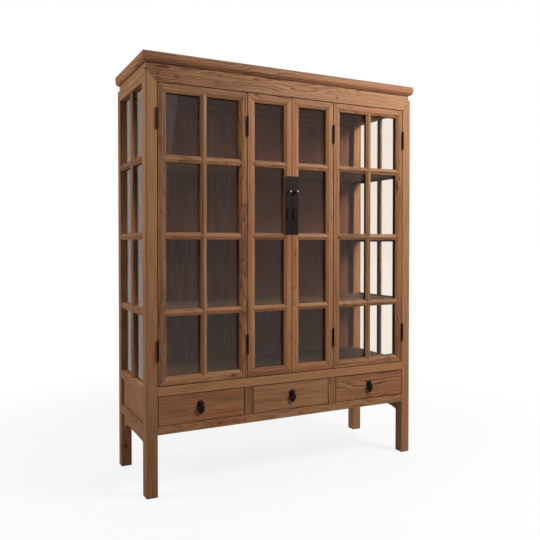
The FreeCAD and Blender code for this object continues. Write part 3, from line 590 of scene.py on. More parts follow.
def wood_material(name, early, late, strength=1.0, roughness=0.62):
    """Reclaimed pine, planed by hand and rubbed with thin matt wax.

    A growth ring's number is the distance from the tree's heart over the ring width. Slow
    noise bends it along the trunk, so that a flat-sawn face shows arches and a quartered
    one lines, and knots push it aside. The pale early wood darkens steadily to the late
    wood and breaks off sharply. Fibres, short dark pores, red and grey casts, worn pale
    edges, dark joint lines and painted shade in recesses and gaps come on top, and on some
    boards the paleness is painted light. The matt wax gives a broad, weak shine.
    """
    tree, shader = start_material(name)
    grain = attribute(tree, "grain", "Vector")
    cast = split_vector(tree, attribute(tree, "cast", "Vector"))
    worn, joint = attribute(tree, "worn"), attribute(tree, "joint")
    core, push = knot_shares(tree)

    slow = streaks(tree, grain, 2.6, 11.0, 1.0)["Fac"]
    wavy = streaks(tree, grain, 11.0, 60.0, 2.0)["Fac"]
    broad = streaks(tree, grain, 4.0, 150.0)["Fac"]
    fine = streaks(tree, grain, 11.0, 620.0)["Fac"]
    pores = streaks(tree, grain, 34.0, 420.0, 2.0)["Fac"]
    cloud = streaks(tree, grain, 2.2, 14.0, 2.0)

    crosswise = vector_node(tree, "MULTIPLY", grain, (0.0, 1.0, 1.0))[0]
    distance = vector_node(tree, "LENGTH", crosswise)[1]
    bent = summed(tree, distance, centred(tree, slow, 60 * MM), centred(tree, wavy, 7 * MM))
    number = math_node(tree, "DIVIDE", bent, sizes().ring_width)
    number = plus(tree, number, times(tree, push, KNOT_PUSH))
    within = math_node(tree, "FRACT", number)
    late_share = ramp(tree, within, [(0.0, grey(0.0)), (0.45, grey(0.1)), (0.78, grey(0.5)),
                                     (0.92, grey(1.0)), (0.98, grey(0.9)), (1.0, grey(0.0))])
    figure = times(tree, plus(tree, cast[2], 1.0), 0.62 * strength)
    near_knot = math_node(tree, "MINIMUM", push, 1.0)
    figure = times(tree, figure, math_node(
        tree, "SUBTRACT", 1.0, times(tree, near_knot, 0.5)))
    pore_share = ranged(tree, pores, 0.6, 0.72, high=0.35)
    # The paleness of cast is random tone on most boards and painted light on some.
    amount = summed(tree, times(tree, late_share, figure),
                    centred(tree, broad, 1.7), centred(tree, fine, 1.0),
                    centred(tree, cloud["Fac"], 0.8), pore_share,
                    times(tree, cast[0], -0.45),
                    times(tree, near_knot, 0.15))
    amount = plus(tree, amount, 0.1, True)
    colour = mixed(tree, amount, early, late)

    redder = mixed(tree, 1.0, colour, linear("F5AE94"), "MULTIPLY")
    local_red = add(tree, "ShaderNodeSeparateColor", inputs={0: cloud["Color"]}).outputs[1]
    red_share = summed(tree, times(tree, cast[1], 0.4),
                       times(tree, near_knot, 0.3),
                       centred(tree, local_red, 1.2))
    red_share = times(tree, red_share, 1.0, True)
    colour = mixed(tree, red_share, colour, redder)
    colour = mixed(tree, times(tree, core, 0.75), colour, tuple(colours().knot))

    wear = times(tree, worn, times(tree, cloud["Fac"], 0.5))
    colour = mixed(tree, wear, colour, mixed(tree, 0.55, colour, linear("B08A66")))
    # Dark joint lines, and on the same channel painted shade on recess faces and in the drawer
    # gaps.
    seam_and_shade = times(tree, joint, 0.7, True)
    colour = mixed(tree, seam_and_shade, colour, linear("23150E"))

    relief = summed(tree, times(tree, late_share, 0.5),
                    times(tree, fine, 0.6),
                    times(tree, pore_share, -1.0))
    bump = add(tree, "ShaderNodeBump", inputs={"Height": relief, "Strength": 0.35,
                                               "Distance": 0.35 * MM})
    shine = plus(tree, centred(tree, broad, 0.2), roughness, True)
    tree.links.new(colour, shader.inputs["Base Color"])
    tree.links.new(shine, shader.inputs["Roughness"])
    tree.links.new(bump.outputs[0], shader.inputs["Normal"])
    shader.inputs["Specular IOR Level"].default_value = 0.25


def iron_material():
    """Wrought iron, hammered, blackened and waxed: dark, with a soft broken shine."""
    tree, shader = start_material(FINISH_NAMES["iron"])
    place = add(tree, "ShaderNodeTexCoord").outputs["Object"]
    dents = noise(tree, place, 190.0, 2.0)["Fac"]
    scale_marks = noise(tree, place, 900.0, 3.0)["Fac"]
    tint = mixed(tree, scale_marks, tuple(colours().iron), linear("2E2522"))
    rough = plus(tree, times(tree, scale_marks, 0.25), 0.3)
    bump = add(tree, "ShaderNodeBump", inputs={"Height": dents, "Strength": 0.5,
                                               "Distance": 0.6 * MM})
    tree.links.new(tint, shader.inputs["Base Color"])
    tree.links.new(rough, shader.inputs["Roughness"])
    tree.links.new(bump.outputs[0], shader.inputs["Normal"])
    shader.inputs["Metallic"].default_value = 0.75


def polished_iron():
    """The same iron rubbed bright by hands on knobs and pin heads."""
    tree, shader = start_material(FINISH_NAMES["bright"])
    place = add(tree, "ShaderNodeTexCoord").outputs["Object"]
    marks = noise(tree, place, 600.0, 2.0)["Fac"]
    tint = mixed(tree, marks, linear("6E6662"), linear("A39B94"))
    tree.links.new(tint, shader.inputs["Base Color"])
    shader.inputs["Metallic"].default_value = 1.0
    shader.inputs["Roughness"].default_value = 0.22


def glass_material():
    """Clear float glass: it bends light a little, mirrors at a slant and lets lamps through."""
    tree, shader = start_material(FINISH_NAMES["glass"])
    shader.inputs["Base Color"].default_value = linear("FEFBF7")
    shader.inputs["Roughness"].default_value = 0.0
    shader.inputs["IOR"].default_value = 1.4
    shader.inputs["Transmission Weight"].default_value = 1.0
    clear = add(tree, "ShaderNodeBsdfTransparent", inputs={"Color": linear("F2EEE8")})
    path = add(tree, "ShaderNodeLightPath")
    both = add(tree, "ShaderNodeMixShader", inputs={0: path.outputs["Is Shadow Ray"],
                                                    1: shader.outputs["BSDF"], 2: clear.outputs[0]})
    output = next(n for n in tree.nodes if n.type == "OUTPUT_MATERIAL")
    tree.links.new(both.outputs[0], output.inputs["Surface"])


FINISH_NAMES = {"pine": "Waxed reclaimed pine", "inner": "Dry inner pine",
                "back": "Dark stained back boards", "iron": "Blackened wrought iron",
                "bright": "Hand-rubbed iron", "glass": "Clear window glass"}


def finishes():
    """All materials by a short name, made once."""
    if FINISH_NAMES["pine"] not in bpy.data.materials:
        c = colours()
        wood_material(FINISH_NAMES["pine"], tuple(c.early_wood), tuple(c.late_wood))
        wood_material(FINISH_NAMES["inner"], tuple(c.inner_wood), linear("4F3828"), 0.8, 0.75)
        wood_material(FINISH_NAMES["back"], tuple(c.back_wood), linear("563A2D"), 0.7, 0.8)
        iron_material()
        polished_iron()
        glass_material()
    return {key: bpy.data.materials[name] for key, name in FINISH_NAMES.items()}


def corner_arc(b):
    """How far in from the side face the rounded post corner starts, at depth b."""
    inside = np.clip(CORNER_RADIUS - b, 0, CORNER_RADIUS)
    return CORNER_RADIUS - np.sqrt(CORNER_RADIUS ** 2 - inside ** 2)


def mirrored(part, axis, middle=0.0):
    """A part turned over to the other side of a plane, with its faces turned back outwards."""
    other = dict(part)
    other["points"] = part["points"].copy()
    other["points"][:, axis] = 2 * middle - other["points"][:, axis]
    other["quads"] = part["quads"][:, ::-1]
    other["triangles"] = part["triangles"][:, ::-1]
    return other


def post_part(right, back):
    """A square post. Near its top it is cut to a pyramid: its end lies one unit lower for
    each unit in from the outer faces, whichever is more."""
    x, y = -HALF_WIDTH, FRONT
    corners = [(x, y), (x + POST, y), (x + POST, y + POST), (x, y + POST)]
    edge = sizes().arris
    outline, worn = rounded(corners, [CORNER_RADIUS * 1.3, edge, edge, edge], steps=5)
    heart = (x + POST / 2, y + POST / 2)
    part = sweep(outline, worn, 2, lambda a, b: 0 * a,
                 lambda a, b: MITRE_TOP - np.maximum(a - x, b - y), heart,
                 (sizes().foot_bevel, sizes().end_bevel))
    if right:
        part = mirrored(part, 0)
    if back:
        part = mirrored(part, 1, (FRONT + REAR) / 2)
    return part


def top_rail_part(axis, body_low, body_high, face, outer):
    """A top rail with its splay and neck, mitred three ways at both ends.

    face is the coordinate of its outer face and outer the sign that points out of the body.
    Its end stands in from the corner by its depth behind the face or by its drop under the
    mitre's top, whichever is more.
    """
    inward = -outer
    splay = [(depth, MITRE_TOP + SPLAY_HEIGHT * depth / NECK_RECESS)
             for depth in CORNER_RADIUS * np.array([0, 0.06, 0.15, 0.3])]
    section = [(0, OPENING_TOP), (0, MITRE_TOP - CORNER_RADIUS), *splay,
               (NECK_RECESS, MITRE_TOP + SPLAY_HEIGHT), (NECK_RECESS, CORNICE_LOW[2]),
               (POST, CORNICE_LOW[2]), (POST, OPENING_TOP)]
    edge = sizes().arris
    outline, worn = rounded(section, [edge, 0, 0, 0, 0, 0, 0.3 * edge, 0, 0, edge], steps=2)

    def inset(depth, height):
        drop = MITRE_TOP - height
        return np.maximum(np.maximum(depth, drop), corner_arc(depth))

    placed = outline.copy()
    placed[:, 0] = face + inward * outline[:, 0]
    heart = (face + inward * POST / 2, MITRE_TOP - POST / 2)
    if axis == 1:
        placed = placed[:, ::-1]
        heart = heart[::-1]

    def cut(sign, end):
        def where(a, b):
            across, height = (a, b) if axis == 0 else (b, a)
            return end + sign * inset((across - face) * inward, height)
        return where

    return sweep(placed, worn, axis, cut(1, body_low), cut(-1, body_high), heart)


def clear_corners(part):
    """Fades the dark of the joints toward the points where three mitres meet. The distance
    to such a point is the largest of those to the side, the front or back and the top."""
    x, y, z = part["points"].T
    apart = np.maximum(HALF_WIDTH - abs(x), np.minimum(y - FRONT, REAR - y))
    apart = np.maximum(apart, abs(MITRE_TOP - z))
    part["joint"] = part["joint"] * np.clip(apart / MITRE_FADE, 0.1, 1)
    return part


class CABINET_OT_frame(bpy.types.Operator):
    """Makes the posts, the rails and the three-way mitres between them"""
    bl_idname = "cabinet.frame"
    bl_label = "Posts and rails"

    def execute(self, context):
        for node, right, back in (("front_left_post", False, False),
                                  ("front_right_post", True, False),
                                  ("rear_left_post", False, True),
                                  ("rear_right_post", True, True)):
            part = grained(clear_corners(post_part(right, back)), 2, 1, node)
            timber(node, [part])
        rail = top_rail_part(0, -HALF_WIDTH, HALF_WIDTH, FRONT, -1)
        timber("front_top_rail", [grained(clear_corners(rail), 0, 1, "front_top_rail")])
        for node in ("front_middle_rail", "front_bottom_rail"):
            low, high = span(node)
            low[0], high[0] = -OPENING_HALF, OPENING_HALF
            timber(node, [plain_board(low, high, 0, 1, node)])
        rear = [grained(top_rail_part(0, -HALF_WIDTH, HALF_WIDTH, REAR, 1), 0, 1, "rear_top_rail")]
        for number, (low, high) in enumerate(solids("rear_rails")):
            if high[2] < OPENING_TOP:
                low[0], high[0] = -OPENING_HALF, OPENING_HALF
                rear.append(plain_board(low, high, 0, 1, "rear_rails", number))
        timber("rear_rails", rear, "back")
        side = []
        for sign in (-1, 1):
            part = top_rail_part(1, FRONT, REAR, sign * HALF_WIDTH, sign)
            side.append(grained(clear_corners(part), 1, 0, "side_top_rail", sign + 1))
        for number, (low, high) in enumerate(solids("side_rails")):
            if high[2] < OPENING_TOP:
                low[1], high[1] = FRONT + POST, REAR - POST
                side.append(plain_board(low, high, 1, 0, "side_rails", number))
        timber("side_rails", side)
        return {"FINISHED"}


def cornice_outline():
    """Cornice outline as (distance out from the body, height): a bead, a quarter round that
    swells out, and a flat fascia. The quarter round is (sin, 1 - cos) of its angle."""
    out = -CORNICE_LOW[0] - HALF_WIDTH
    inner = span("top_board")[1][0] - HALF_WIDTH
    base, top = CORNICE_LOW[2], CORNICE_HIGH[2]
    angle = np.linspace(0, math.pi / 2, 9)[1:]
    bead_top = base + BEAD
    rise = top - FASCIA - bead_top
    curve = np.column_stack([out * np.sin(angle), bead_top + rise * (1 - np.cos(angle))])
    corners = np.array([(inner, base), (0, base), (0, bead_top)] + list(map(tuple, curve))
                       + [(out, top), (inner, top)])
    worn = np.zeros(len(corners))
    worn[-3:-1] = 1
    return corners, worn


class CABINET_OT_cornice(bpy.types.Operator):
    """Makes the mitred cornice and the closing strip at the back"""
    bl_idname = "cabinet.cornice"
    bl_label = "Cornice"

    def execute(self, context):
        outline, worn = cornice_outline()
        front_line = np.column_stack([FRONT - outline[:, 0], outline[:, 1]])
        parts = [grained(sweep(front_line, worn, 0,
                               lambda y, z: -HALF_WIDTH - (FRONT - y),
                               lambda y, z: HALF_WIDTH + (FRONT - y)),
                         0, 1, "cornice_front")]
        for sign in (-1, 1):
            side_line = np.column_stack([outline[:, 1], sign * (HALF_WIDTH + outline[:, 0])])
            parts.append(grained(sweep(side_line, worn, 1,
                                       lambda z, x, s=sign: FRONT - (s * x - HALF_WIDTH),
                                       lambda z, x: REAR + 0 * x),
                                 1, 0, "cornice_return", sign + 1))
        inner = span("top_board")[1][0]
        low = np.array([-inner, REAR - CLOSING, CORNICE_LOW[2]])
        high = np.array([inner, REAR, CORNICE_HIGH[2]])
        parts.append(plain_board(low, high, 0, 1, "cornice_rear"))
        timber("cornice", parts)
        return {"FINISHED"}


def ridged_section(centre, face, depth, inward=1):
    """Section of a glazing bar: two slopes that rise to a ridge in its middle."""
    half = BAR_WIDTH / 2
    radius = sizes().door_arris
    ridge = 0.25 * MM
    corners = [(centre - half, face + inward * depth), (centre - half, face + inward * BAR_SLOPE),
               (centre, face + inward * ridge), (centre + half, face + inward * BAR_SLOPE),
               (centre + half, face + inward * depth)]
    return rounded(corners, [0, radius, radius, radius, 0], steps=2, support=1.5 * MM)


def over_slope(depth):
    """How far a bar's pointed end rides over a slope: all of it at the face, none at its foot."""
    return BAR_WIDTH / 2 * np.clip(1 - depth / BAR_SLOPE, 0, 1)


def paint_recess_shade(part, across, places, depth, amount=1.0):
    """Paints shade on the narrow faces in recesses and gaps, where little light reaches. They lie
    at the given places across the board and start at the given depth behind the front."""
    points = part["points"]
    beside = np.abs(points[:, across, None] - np.array(places)).min(1) < PAINTED_SHADE_REACH
    in_shade = beside & (points[:, 1] > FRONT + depth)
    # The painted shade goes on the same channel as the dark joint lines.
    part["joint"] = np.maximum(part["joint"], amount * in_shade)
    return part


def door_bar(x, z, axis, name, number):
    """A glazing bar of a door, upright (axis 2) or across (axis 0), with pointed ends."""
    along, across = (z, x) if axis == 2 else (x, z)
    centre = (across[0] + across[1]) / 2
    outline, worn = ridged_section(centre, FRONT, BAR_DEPTH)
    heart = (centre, FRONT + BAR_SLOPE)
    if axis == 0:
        outline, heart = outline[:, ::-1], heart[::-1]

    def point(a, b):
        return over_slope((b if axis == 2 else a) - FRONT)

    part = sweep(outline, worn, axis, lambda a, b: along[0] - point(a, b),
                 lambda a, b: along[1] + point(a, b), heart, 0)
    # The faces that run back to the glass get painted shade.
    return grained(paint_recess_shade(part, 2 - axis, across, PAINTED_SHADE_DEPTH), axis, 1, name, number)


def frame_section(outer, inner):
    """Section of a door member: flat, then a slope down to the glass edge."""
    slope = inner - math.copysign(BAR_WIDTH / 2, inner - outer)
    back = FRONT + DOOR_THICKNESS
    corners = [(outer, FRONT), (slope, FRONT), (inner, FRONT + BAR_SLOPE), (inner, back),
               (outer, back)]
    radius = sizes().door_arris
    return rounded(corners, [radius, 0.4 * radius, radius, radius, radius], steps=3,
                   support=1.5 * MM)


def frame_line(ends, low_member, high_member):
    """Where a door's outer edge, slope and glass edge lie at one side, and at the other."""
    low, high = ends[0] + low_member, ends[1] - high_member
    slope = BAR_WIDTH / 2
    return np.array([ends[0], low - slope, low, high, high + slope, ends[1]])


def door_frame_parts(x, z, name):
    """Two stiles and two rails, cut along the line from the outer to the inner corner."""
    line_x = frame_line(x, STILE, STILE)
    line_z = frame_line(z, DOOR_BOTTOM_RAIL, DOOR_TOP_RAIL)
    parts = []
    for axis, along, across in ((2, line_z, line_x), (0, line_x, line_z)):
        def cut(order):
            return lambda a, b: np.interp(a if axis == 2 else b, across, along[order])

        for outer, inner in (across[[0, 2]], across[[5, 3]]):
            outline, worn = frame_section(outer, inner)
            outline = outline if axis == 2 else outline[:, ::-1]
            part = sweep(outline, worn, axis, cut([0, 1, 2, 2, 1, 0]), cut([5, 4, 3, 3, 4, 5]))
            # The face that runs back to the glass gets painted shade.
            paint_recess_shade(part, 2 - axis, [inner], PAINTED_SHADE_DEPTH)
            parts.append(grained(part, axis, 1, name, len(parts)))
    return parts


def bar_runs(boxes, axis):
    """Each glazing bar once, as (its axis, its range along the axis, its heights).

    Crossbars run along the axis. Two that meet at an upright come from the frame as one
    box, and are parted at the upright's middle. Ends with a point are drawn in to the
    point's shoulder.
    """
    reach = BAR_WIDTH / 2
    uprights, crossbars = [], []
    for low, high in boxes:
        tall = high[2] - low[2] > high[axis] - low[axis]
        (uprights if tall else crossbars).append((low, high))
    runs = [(2, (low[axis], high[axis]), (low[2] + reach, high[2] - reach))
            for low, high in uprights]
    middles = [(low[axis] + high[axis]) / 2 for low, high in uprights]
    for low, high in crossbars:
        stops = [low[axis]] + [m for m in middles if low[axis] < m < high[axis]] + [high[axis]]
        for start, end in zip(stops, stops[1:]):
            runs.append((axis, (start + reach, end - reach), (low[2], high[2])))
    return runs


class CABINET_OT_doors(bpy.types.Operator):
    """Makes the frame members and the ridged glazing bars of the four door leaves"""
    bl_idname = "cabinet.doors"
    bl_label = "Doors"

    def execute(self, context):
        for body in ("left_wide_door", "left_narrow_door", "right_narrow_door", "right_wide_door"):
            low, high = span(body + "_frame")
            parts = door_frame_parts((low[0], high[0]), (low[2], high[2]), body + "_frame")
            timber(body + "_frame", parts, body=body)
            runs = bar_runs(solids(body + "_bars"), 0)
            bars = [door_bar(x, z, axis, body + "_bars", number)
                    for number, (axis, x, z) in enumerate(runs)]
            timber(body + "_bars", bars, body=body)
        return {"FINISHED"}


def side_bar(y, z, axis, sign, number):
    """A glazing bar of a side. Crossbars are pointed where they meet the upright and end
    square at the posts, and uprights end square at the rails."""
    face = sign * HALF_WIDTH
    reach = BAR_WIDTH / 2
    number += 8 * sign + 8
    centre = sum(y if axis == 2 else z) / 2
    outline, worn = ridged_section(centre, face, SIDE_BAR_DEPTH, -sign)
    if axis == 2:
        part = prism(outline[:, ::-1], worn, 2, z[0] - reach, z[1] + reach, bevel=0)
        return grained(part, 2, 0, "side_bars", number, (-0.1, 0.2, 0.0))
    front_half = y[0] < (FRONT + REAR) / 2 - reach

    def start(a, b):
        return y[0] - (reach + 0 * b if front_half else over_slope(abs(b - face)))

    def finish(a, b):
        return y[1] + (over_slope(abs(b - face)) if front_half else reach + 0 * b)

    part = sweep(outline, worn, 1, start, finish, (centre, face - sign * BAR_SLOPE), 0)
    return grained(part, 1, 0, "side_bars", number, (-0.3, 0.5 + 0.3 * sign, 0.2))


class CABINET_OT_sides(bpy.types.Operator):
    """Makes the glazing bars, panels and shaped aprons of both sides"""
    bl_idname = "cabinet.sides"
    bl_label = "Sides"

    def execute(self, context):
        bars = []
        for sign in (-1, 1):
            boxes = [pair for pair in solids("side_bars") if pair[0][0] * sign > 0]
            for number, (axis, y, z) in enumerate(bar_runs(boxes, 1)):
                bars.append(side_bar(y, z, axis, sign, number))
        timber("side_bars", bars)
        dressed_copy("side_panels", "pine", 2)
        dressed_copy("side_aprons", "pine", 1)
        return {"FINISHED"}


class CABINET_OT_drawers(bpy.types.Operator):
    """Makes the drawer fronts, their boxes and the dividers between them"""
    bl_idname = "cabinet.drawers"
    bl_label = "Drawers"

    def execute(self, context):
        for name in ("left", "middle", "right"):
            node = name + "_drawer_front"
            low, high = span(node)
            part = plain_board(low, high, 0, 1, node, radius=1 * MM, wear=0.0)
            # Painted shade on the front's top and bottom edges, standing in for the shadow in the
            # gaps.
            paint_recess_shade(part, 2, (low[2], high[2]), -1 * MM, DRAWER_GAP_SHADE[name])
            timber(node, [part], body=name + "_drawer")
            dressed_copy(name + "_drawer_box", "inner")
        parts = [plain_board(low, high, 2, 1, "drawer_dividers", number)
                 for number, (low, high) in enumerate(solids("drawer_dividers"))]
        timber("drawer_dividers", parts)
        return {"FINISHED"}


def dressed_copy(node, finish, axis=None, bevel=0.8 * MM, suffix="_timber"):
    """A merged copy of a CAD node's mesh, with its edges softened and grain laid along each
    solid's longest side, or along the given axis."""
    mesh = frame["nodes"][node].data.copy()
    mesh.name = node + suffix
    work = bmesh.new()
    work.from_mesh(mesh)
    bmesh.ops.remove_doubles(work, verts=work.verts, dist=TOUCHING)
    bmesh.ops.dissolve_limit(work, angle_limit=math.radians(1), verts=work.verts, edges=work.edges)
    work.to_mesh(mesh)
    work.free()
    places = np.empty(len(mesh.vertices) * 3)
    mesh.vertices.foreach_get("co", places)
    places = places.reshape(-1, 3)
    values = {key: np.zeros_like(places) for key in BOARD_KEYS}
    for number, (low, high) in enumerate(solids(node)):
        inside = ((places >= low - 0.02 * MM) & (places <= high + 0.02 * MM)).all(1)
        size = high - low
        along = int(np.argmax(size)) if axis is None else axis
        depth = int(np.argmin(size))
        depth = depth if depth != along else (along + 1) % 3
        part = grained({"points": places[inside]}, along, depth, node, number)
        for key in BOARD_KEYS:
            values[key][inside] = part[key]
    for key in BOARD_KEYS:
        write_attribute(mesh, key, values[key])
    mesh.materials.clear()
    mesh.materials.append(finishes()[finish])
    mesh.polygons.foreach_set("use_smooth", np.ones(len(mesh.polygons), bool))
    mesh.set_sharp_from_angle(angle=math.radians(35))
    piece = bpy.data.objects.new(node + suffix, mesh)
    bpy.context.scene.collection.objects.link(piece)
    soften = piece.modifiers.new("Softened edges", "BEVEL")
    soften.width = bevel
    soften.segments = 2
    soften.limit_method = "ANGLE"
    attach(piece, frame["nodes"][node]["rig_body"])
    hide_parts(node)


class CABINET_OT_inside(bpy.types.Operator):
    """Makes the shelves, the floor, the back boards and the pieces that carry them"""
    bl_idname = "cabinet.inside"
    bl_label = "Inside"

    def execute(self, context):
        parts = []
        boxes = solids("back_boards")
        for number, (low, high) in enumerate(boxes):
            # The boards' edges almost meet, so that no light falls through between them.
            low[0] -= BACK_BOARD_REACH * (number > 0)
            high[0] += BACK_BOARD_REACH * (number < len(boxes) - 1)
            parts.append(plain_board(low, high, 2, 1, "back_boards", number, radius=1 * MM))
        timber("back_boards", parts, "back")
        for node in ("lower_shelf", "middle_shelf", "upper_shelf", "floor_board", "shelf_cleats",
                     "top_door_stop", "drawer_runners"):
            dressed_copy(node, "inner")
        for node in ("top_board", "top_battens"):
            dressed_copy(node, "pine")
        return {"FINISHED"}


class CABINET_OT_glass(bpy.types.Operator):
    """Gives the panes their glass"""
    bl_idname = "cabinet.glass"
    bl_label = "Glass"

    def execute(self, context):
        glass = finishes()["glass"]
        for node, piece in frame["nodes"].items():
            if node.endswith("_glass"):
                piece.data.materials.clear()
                piece.data.materials.append(glass)
        return {"FINISHED"}


def turned(profile, centre, out, count=28):
    """A profile turned round an axis that starts at the centre and runs along out.

    A profile row is (half width, half depth, distance along the axis): the ring at that
    distance is the ellipse (half width cos t, half depth sin t). The first and last rows
    have no width: they are the poles, and fans close them.
    """
    profile = np.array(profile, float)
    out = np.array(out, float)
    wide = np.roll(abs(out), 1)
    deep = np.cross(out, wide)
    turn = np.arange(count) * 2 * math.pi / count
    half_width, half_depth, along = profile[1:-1].T[:, :, None, None]
    rings = (np.cos(turn)[:, None] * wide * half_width + np.sin(turn)[:, None] * deep * half_depth
             + along * out)
    poles = profile[[0, -1], 2][:, None] * out
    points = np.concatenate([rings.reshape(-1, 3), poles]) + centre
    return {"points": points, **tube_faces(count, len(rings))}


def flowing(rows, steps=4):
    """A smooth line through the rows: Catmull-Rom pieces, cubic in t, with the tangent at
    each row half the way between its neighbours. A repeated row makes a corner, but the line
    first swings past it, by up to 0.15 of half the step before it, and comes back."""
    rows = np.array(rows, float)
    padded = np.concatenate([rows[:1], rows, rows[-1:]])
    t = np.linspace(0, 1, steps, endpoint=False)[None, :, None]
    p0, p1, p2, p3 = (padded[k:k + len(rows) - 1][:, None, :] for k in range(4))
    line = 0.5 * (2 * p1 + (p2 - p0) * t + (2 * p0 - 5 * p1 + 4 * p2 - p3) * t ** 2
                  + (3 * p1 - p0 - 3 * p2 + p3) * t ** 3)
    return np.concatenate([line.reshape(-1, rows.shape[1]), rows[-1:]])


def plain_rows(pairs):
    """Rows for a round turned piece from (radius, distance) pairs in millimetres."""
    return [(r * MM, r * MM, d * MM) for r, d in pairs]


def round_rows(pairs, steps=4):
    """The same rows with a smooth line laid through them."""
    line = flowing(plain_rows(pairs), steps)
    line[:, :2] = np.maximum(line[:, :2], 0)
    return line


def slab(low, high, axis, radius, edge):
    """A plate across an axis, with rounded corners and slightly broken edges. It keeps what
    an iron piece needs: its points and faces."""
    outline, worn = rounded(rectangle(low, high, axis), radius, steps=5, support=0.5 * MM)
    part = prism(outline, worn, axis, low[axis], high[axis], bevel=edge, shade=edge * 1.5)
    return {key: part[key] for key in ("points", "quads", "triangles")}


def ironwork(name, parts, body, node, finish="iron", smooth_angle=40):
    """Makes a piece of iron that stands for a node."""
    make_piece(name + "_iron", parts, finishes()[finish], body, node, smooth_angle)


# Places and sizes of the irons, and (radius, distance) rows of turned ones in millimetres
LOCK_PLATE = 2 * MM
NAIL_INSET = 12 * MM
STUD_X, STUD_Z = 20.5 * MM, 1402 * MM
TAB_X, TAB_Z = 18 * MM, 1323 * MM
TAB_PIN_Y = FRONT - LOCK_PLATE - 3.65 * MM
TAB_HALF, TAB_EYE_HALF, TAB_LENGTH = 11.5 * MM, 5.75 * MM, 58 * MM
PULL_Z, PULL_PIN_Y = 403 * MM, FRONT - 10 * MM

STUD_ROWS = ((0, 0), (7.2, 0), (7.2, 0), (7.4, 1.2), (6.2, 2.6), (4.6, 4.5), (4.1, 8), (4.3, 12),
             (5.6, 14.4), (5.6, 14.4), (0, 14.4))
KNOB_ROWS = ((0, 13.4), (5.4, 13.4), (7.4, 14.6), (8, 17), (7.4, 20), (5.4, 22.6), (2.8, 23.8),
             (0, 24))
NAIL_ROWS = ((0, -0.2), (3.2, -0.2), (3.1, 0.4), (2.3, 1.2), (1.1, 1.6), (0, 1.7))
ROSE_ROWS = ((0, 0), (17, 0), (17, 0), (17, 1.0), (16.4, 1.9), (15, 2.1), (13.8, 2.0),
             (11.8, 2.7), (8.8, 3.9), (5, 4.7), (0, 5.0))


def stud_parts(sign):
    """Turned knob, in two lists: a foot on the plate with a waisted neck, and a domed head."""
    place = np.array([sign * STUD_X, FRONT - LOCK_PLATE, STUD_Z])
    foot = turned(round_rows(STUD_ROWS), place, (0, -1, 0))
    return [foot], [turned(round_rows(KNOB_ROWS), place, (0, -1, 0), 32)]


def tab_holder_parts(sign):
    """The pin of a hanging tab, its two ears and the balls that close it."""
    pin = np.array([sign * TAB_X, TAB_PIN_Y, TAB_Z])
    ears = []
    for side in (-1, 1):
        inner = pin[0] + side * (TAB_EYE_HALF + 0.3 * MM)
        outer = inner + side * 1.8 * MM
        low = (min(inner, outer), TAB_PIN_Y - 2 * MM, TAB_Z - 2 * MM)
        high = (max(inner, outer), FRONT - LOCK_PLATE, TAB_Z + 2 * MM)
        ears.append(slab(low, high, 0, 1.6 * MM, 0.3 * MM))
    reach = (TAB_EYE_HALF + 2.1 * MM) / MM
    ball = [(0, -reach - 2.2), (1.6, -reach - 1.6), (2.2, -reach), (1.5, -reach + 1.2)]
    rows = ball + [(r, -d) for r, d in ball[::-1]]
    return ears, [turned(round_rows(rows, 3), pin, (1, 0, 0), 20)]


def tab_parts(sign):
    """The hanging tab: a strip with a rounded lower end, and a rolled eye at its top."""
    x, y = sign * TAB_X, TAB_PIN_Y
    half = 1.2 * MM
    low = (x - TAB_HALF, y - half, TAB_Z - TAB_LENGTH)
    high = (x + TAB_HALF, y + half, TAB_Z - 3.3 * MM)
    blade = slab(low, high, 1, 2.5 * MM, 0.4 * MM)
    neck = slab((x - TAB_EYE_HALF, y - half, TAB_Z - 6.7 * MM),
                (x + TAB_EYE_HALF, y + half, TAB_Z), 1, 0.5 * MM, 0.2 * MM)
    reach = TAB_EYE_HALF / MM
    rows = [(0, -reach), (3.1, -reach), (3.1, -reach), (3.35, -reach + 0.4), (3.35, reach - 0.4),
            (3.1, reach), (3.1, reach), (0, reach)]
    return [blade, neck, turned(plain_rows(rows), (x, y, TAB_Z), (1, 0, 0), 24)]


def pull_drop_part(x):
    """Cast drop: an egg that swells from a narrow neck. Its half width is the neck's, which
    fades out downwards, plus a swell of sin(pi t^0.7)^0.5, t being the share of its length.
    It is lens-shaped across: thickest in the middle."""
    t = 1 - np.linspace(1, 0, 24) ** 1.5
    swell = np.clip(np.sin(math.pi * t ** 0.7), 0, 1) ** 0.5
    half = np.minimum(3.5 * (1 - t) + 15.5 * swell, 18)
    deep = 1.5 + 1.0 * np.sin(math.pi * np.clip(t, 0, 1) ** 0.8)
    along = 4 + 41.5 * t
    half[-1] = deep[-1] = 0
    rows = np.column_stack([half, np.minimum(deep, half + 0.01), along]) * MM
    rows = np.concatenate([[[0, 0, rows[0, 2]]], rows])
    return turned(rows, (x, PULL_PIN_Y, PULL_Z), (0, 0, -1), 36)


def pull_eye_parts(x):
    """The drop's eye round its pin, and the neck below it."""
    rows = [(0, -3.5), (3.8, -3.5), (3.8, -3.5), (4.0, -3.2), (4.0, 3.2), (3.8, 3.5), (3.8, 3.5),
            (0, 3.5)]
    eye = turned(plain_rows(rows), (x, PULL_PIN_Y, PULL_Z), (1, 0, 0))
    neck = slab((x - 3.5 * MM, PULL_PIN_Y - 2 * MM, PULL_Z - 8 * MM),
                (x + 3.5 * MM, PULL_PIN_Y + 2 * MM, PULL_Z - 1 * MM), 1, 1 * MM, 0.4 * MM)
    return [eye, neck]


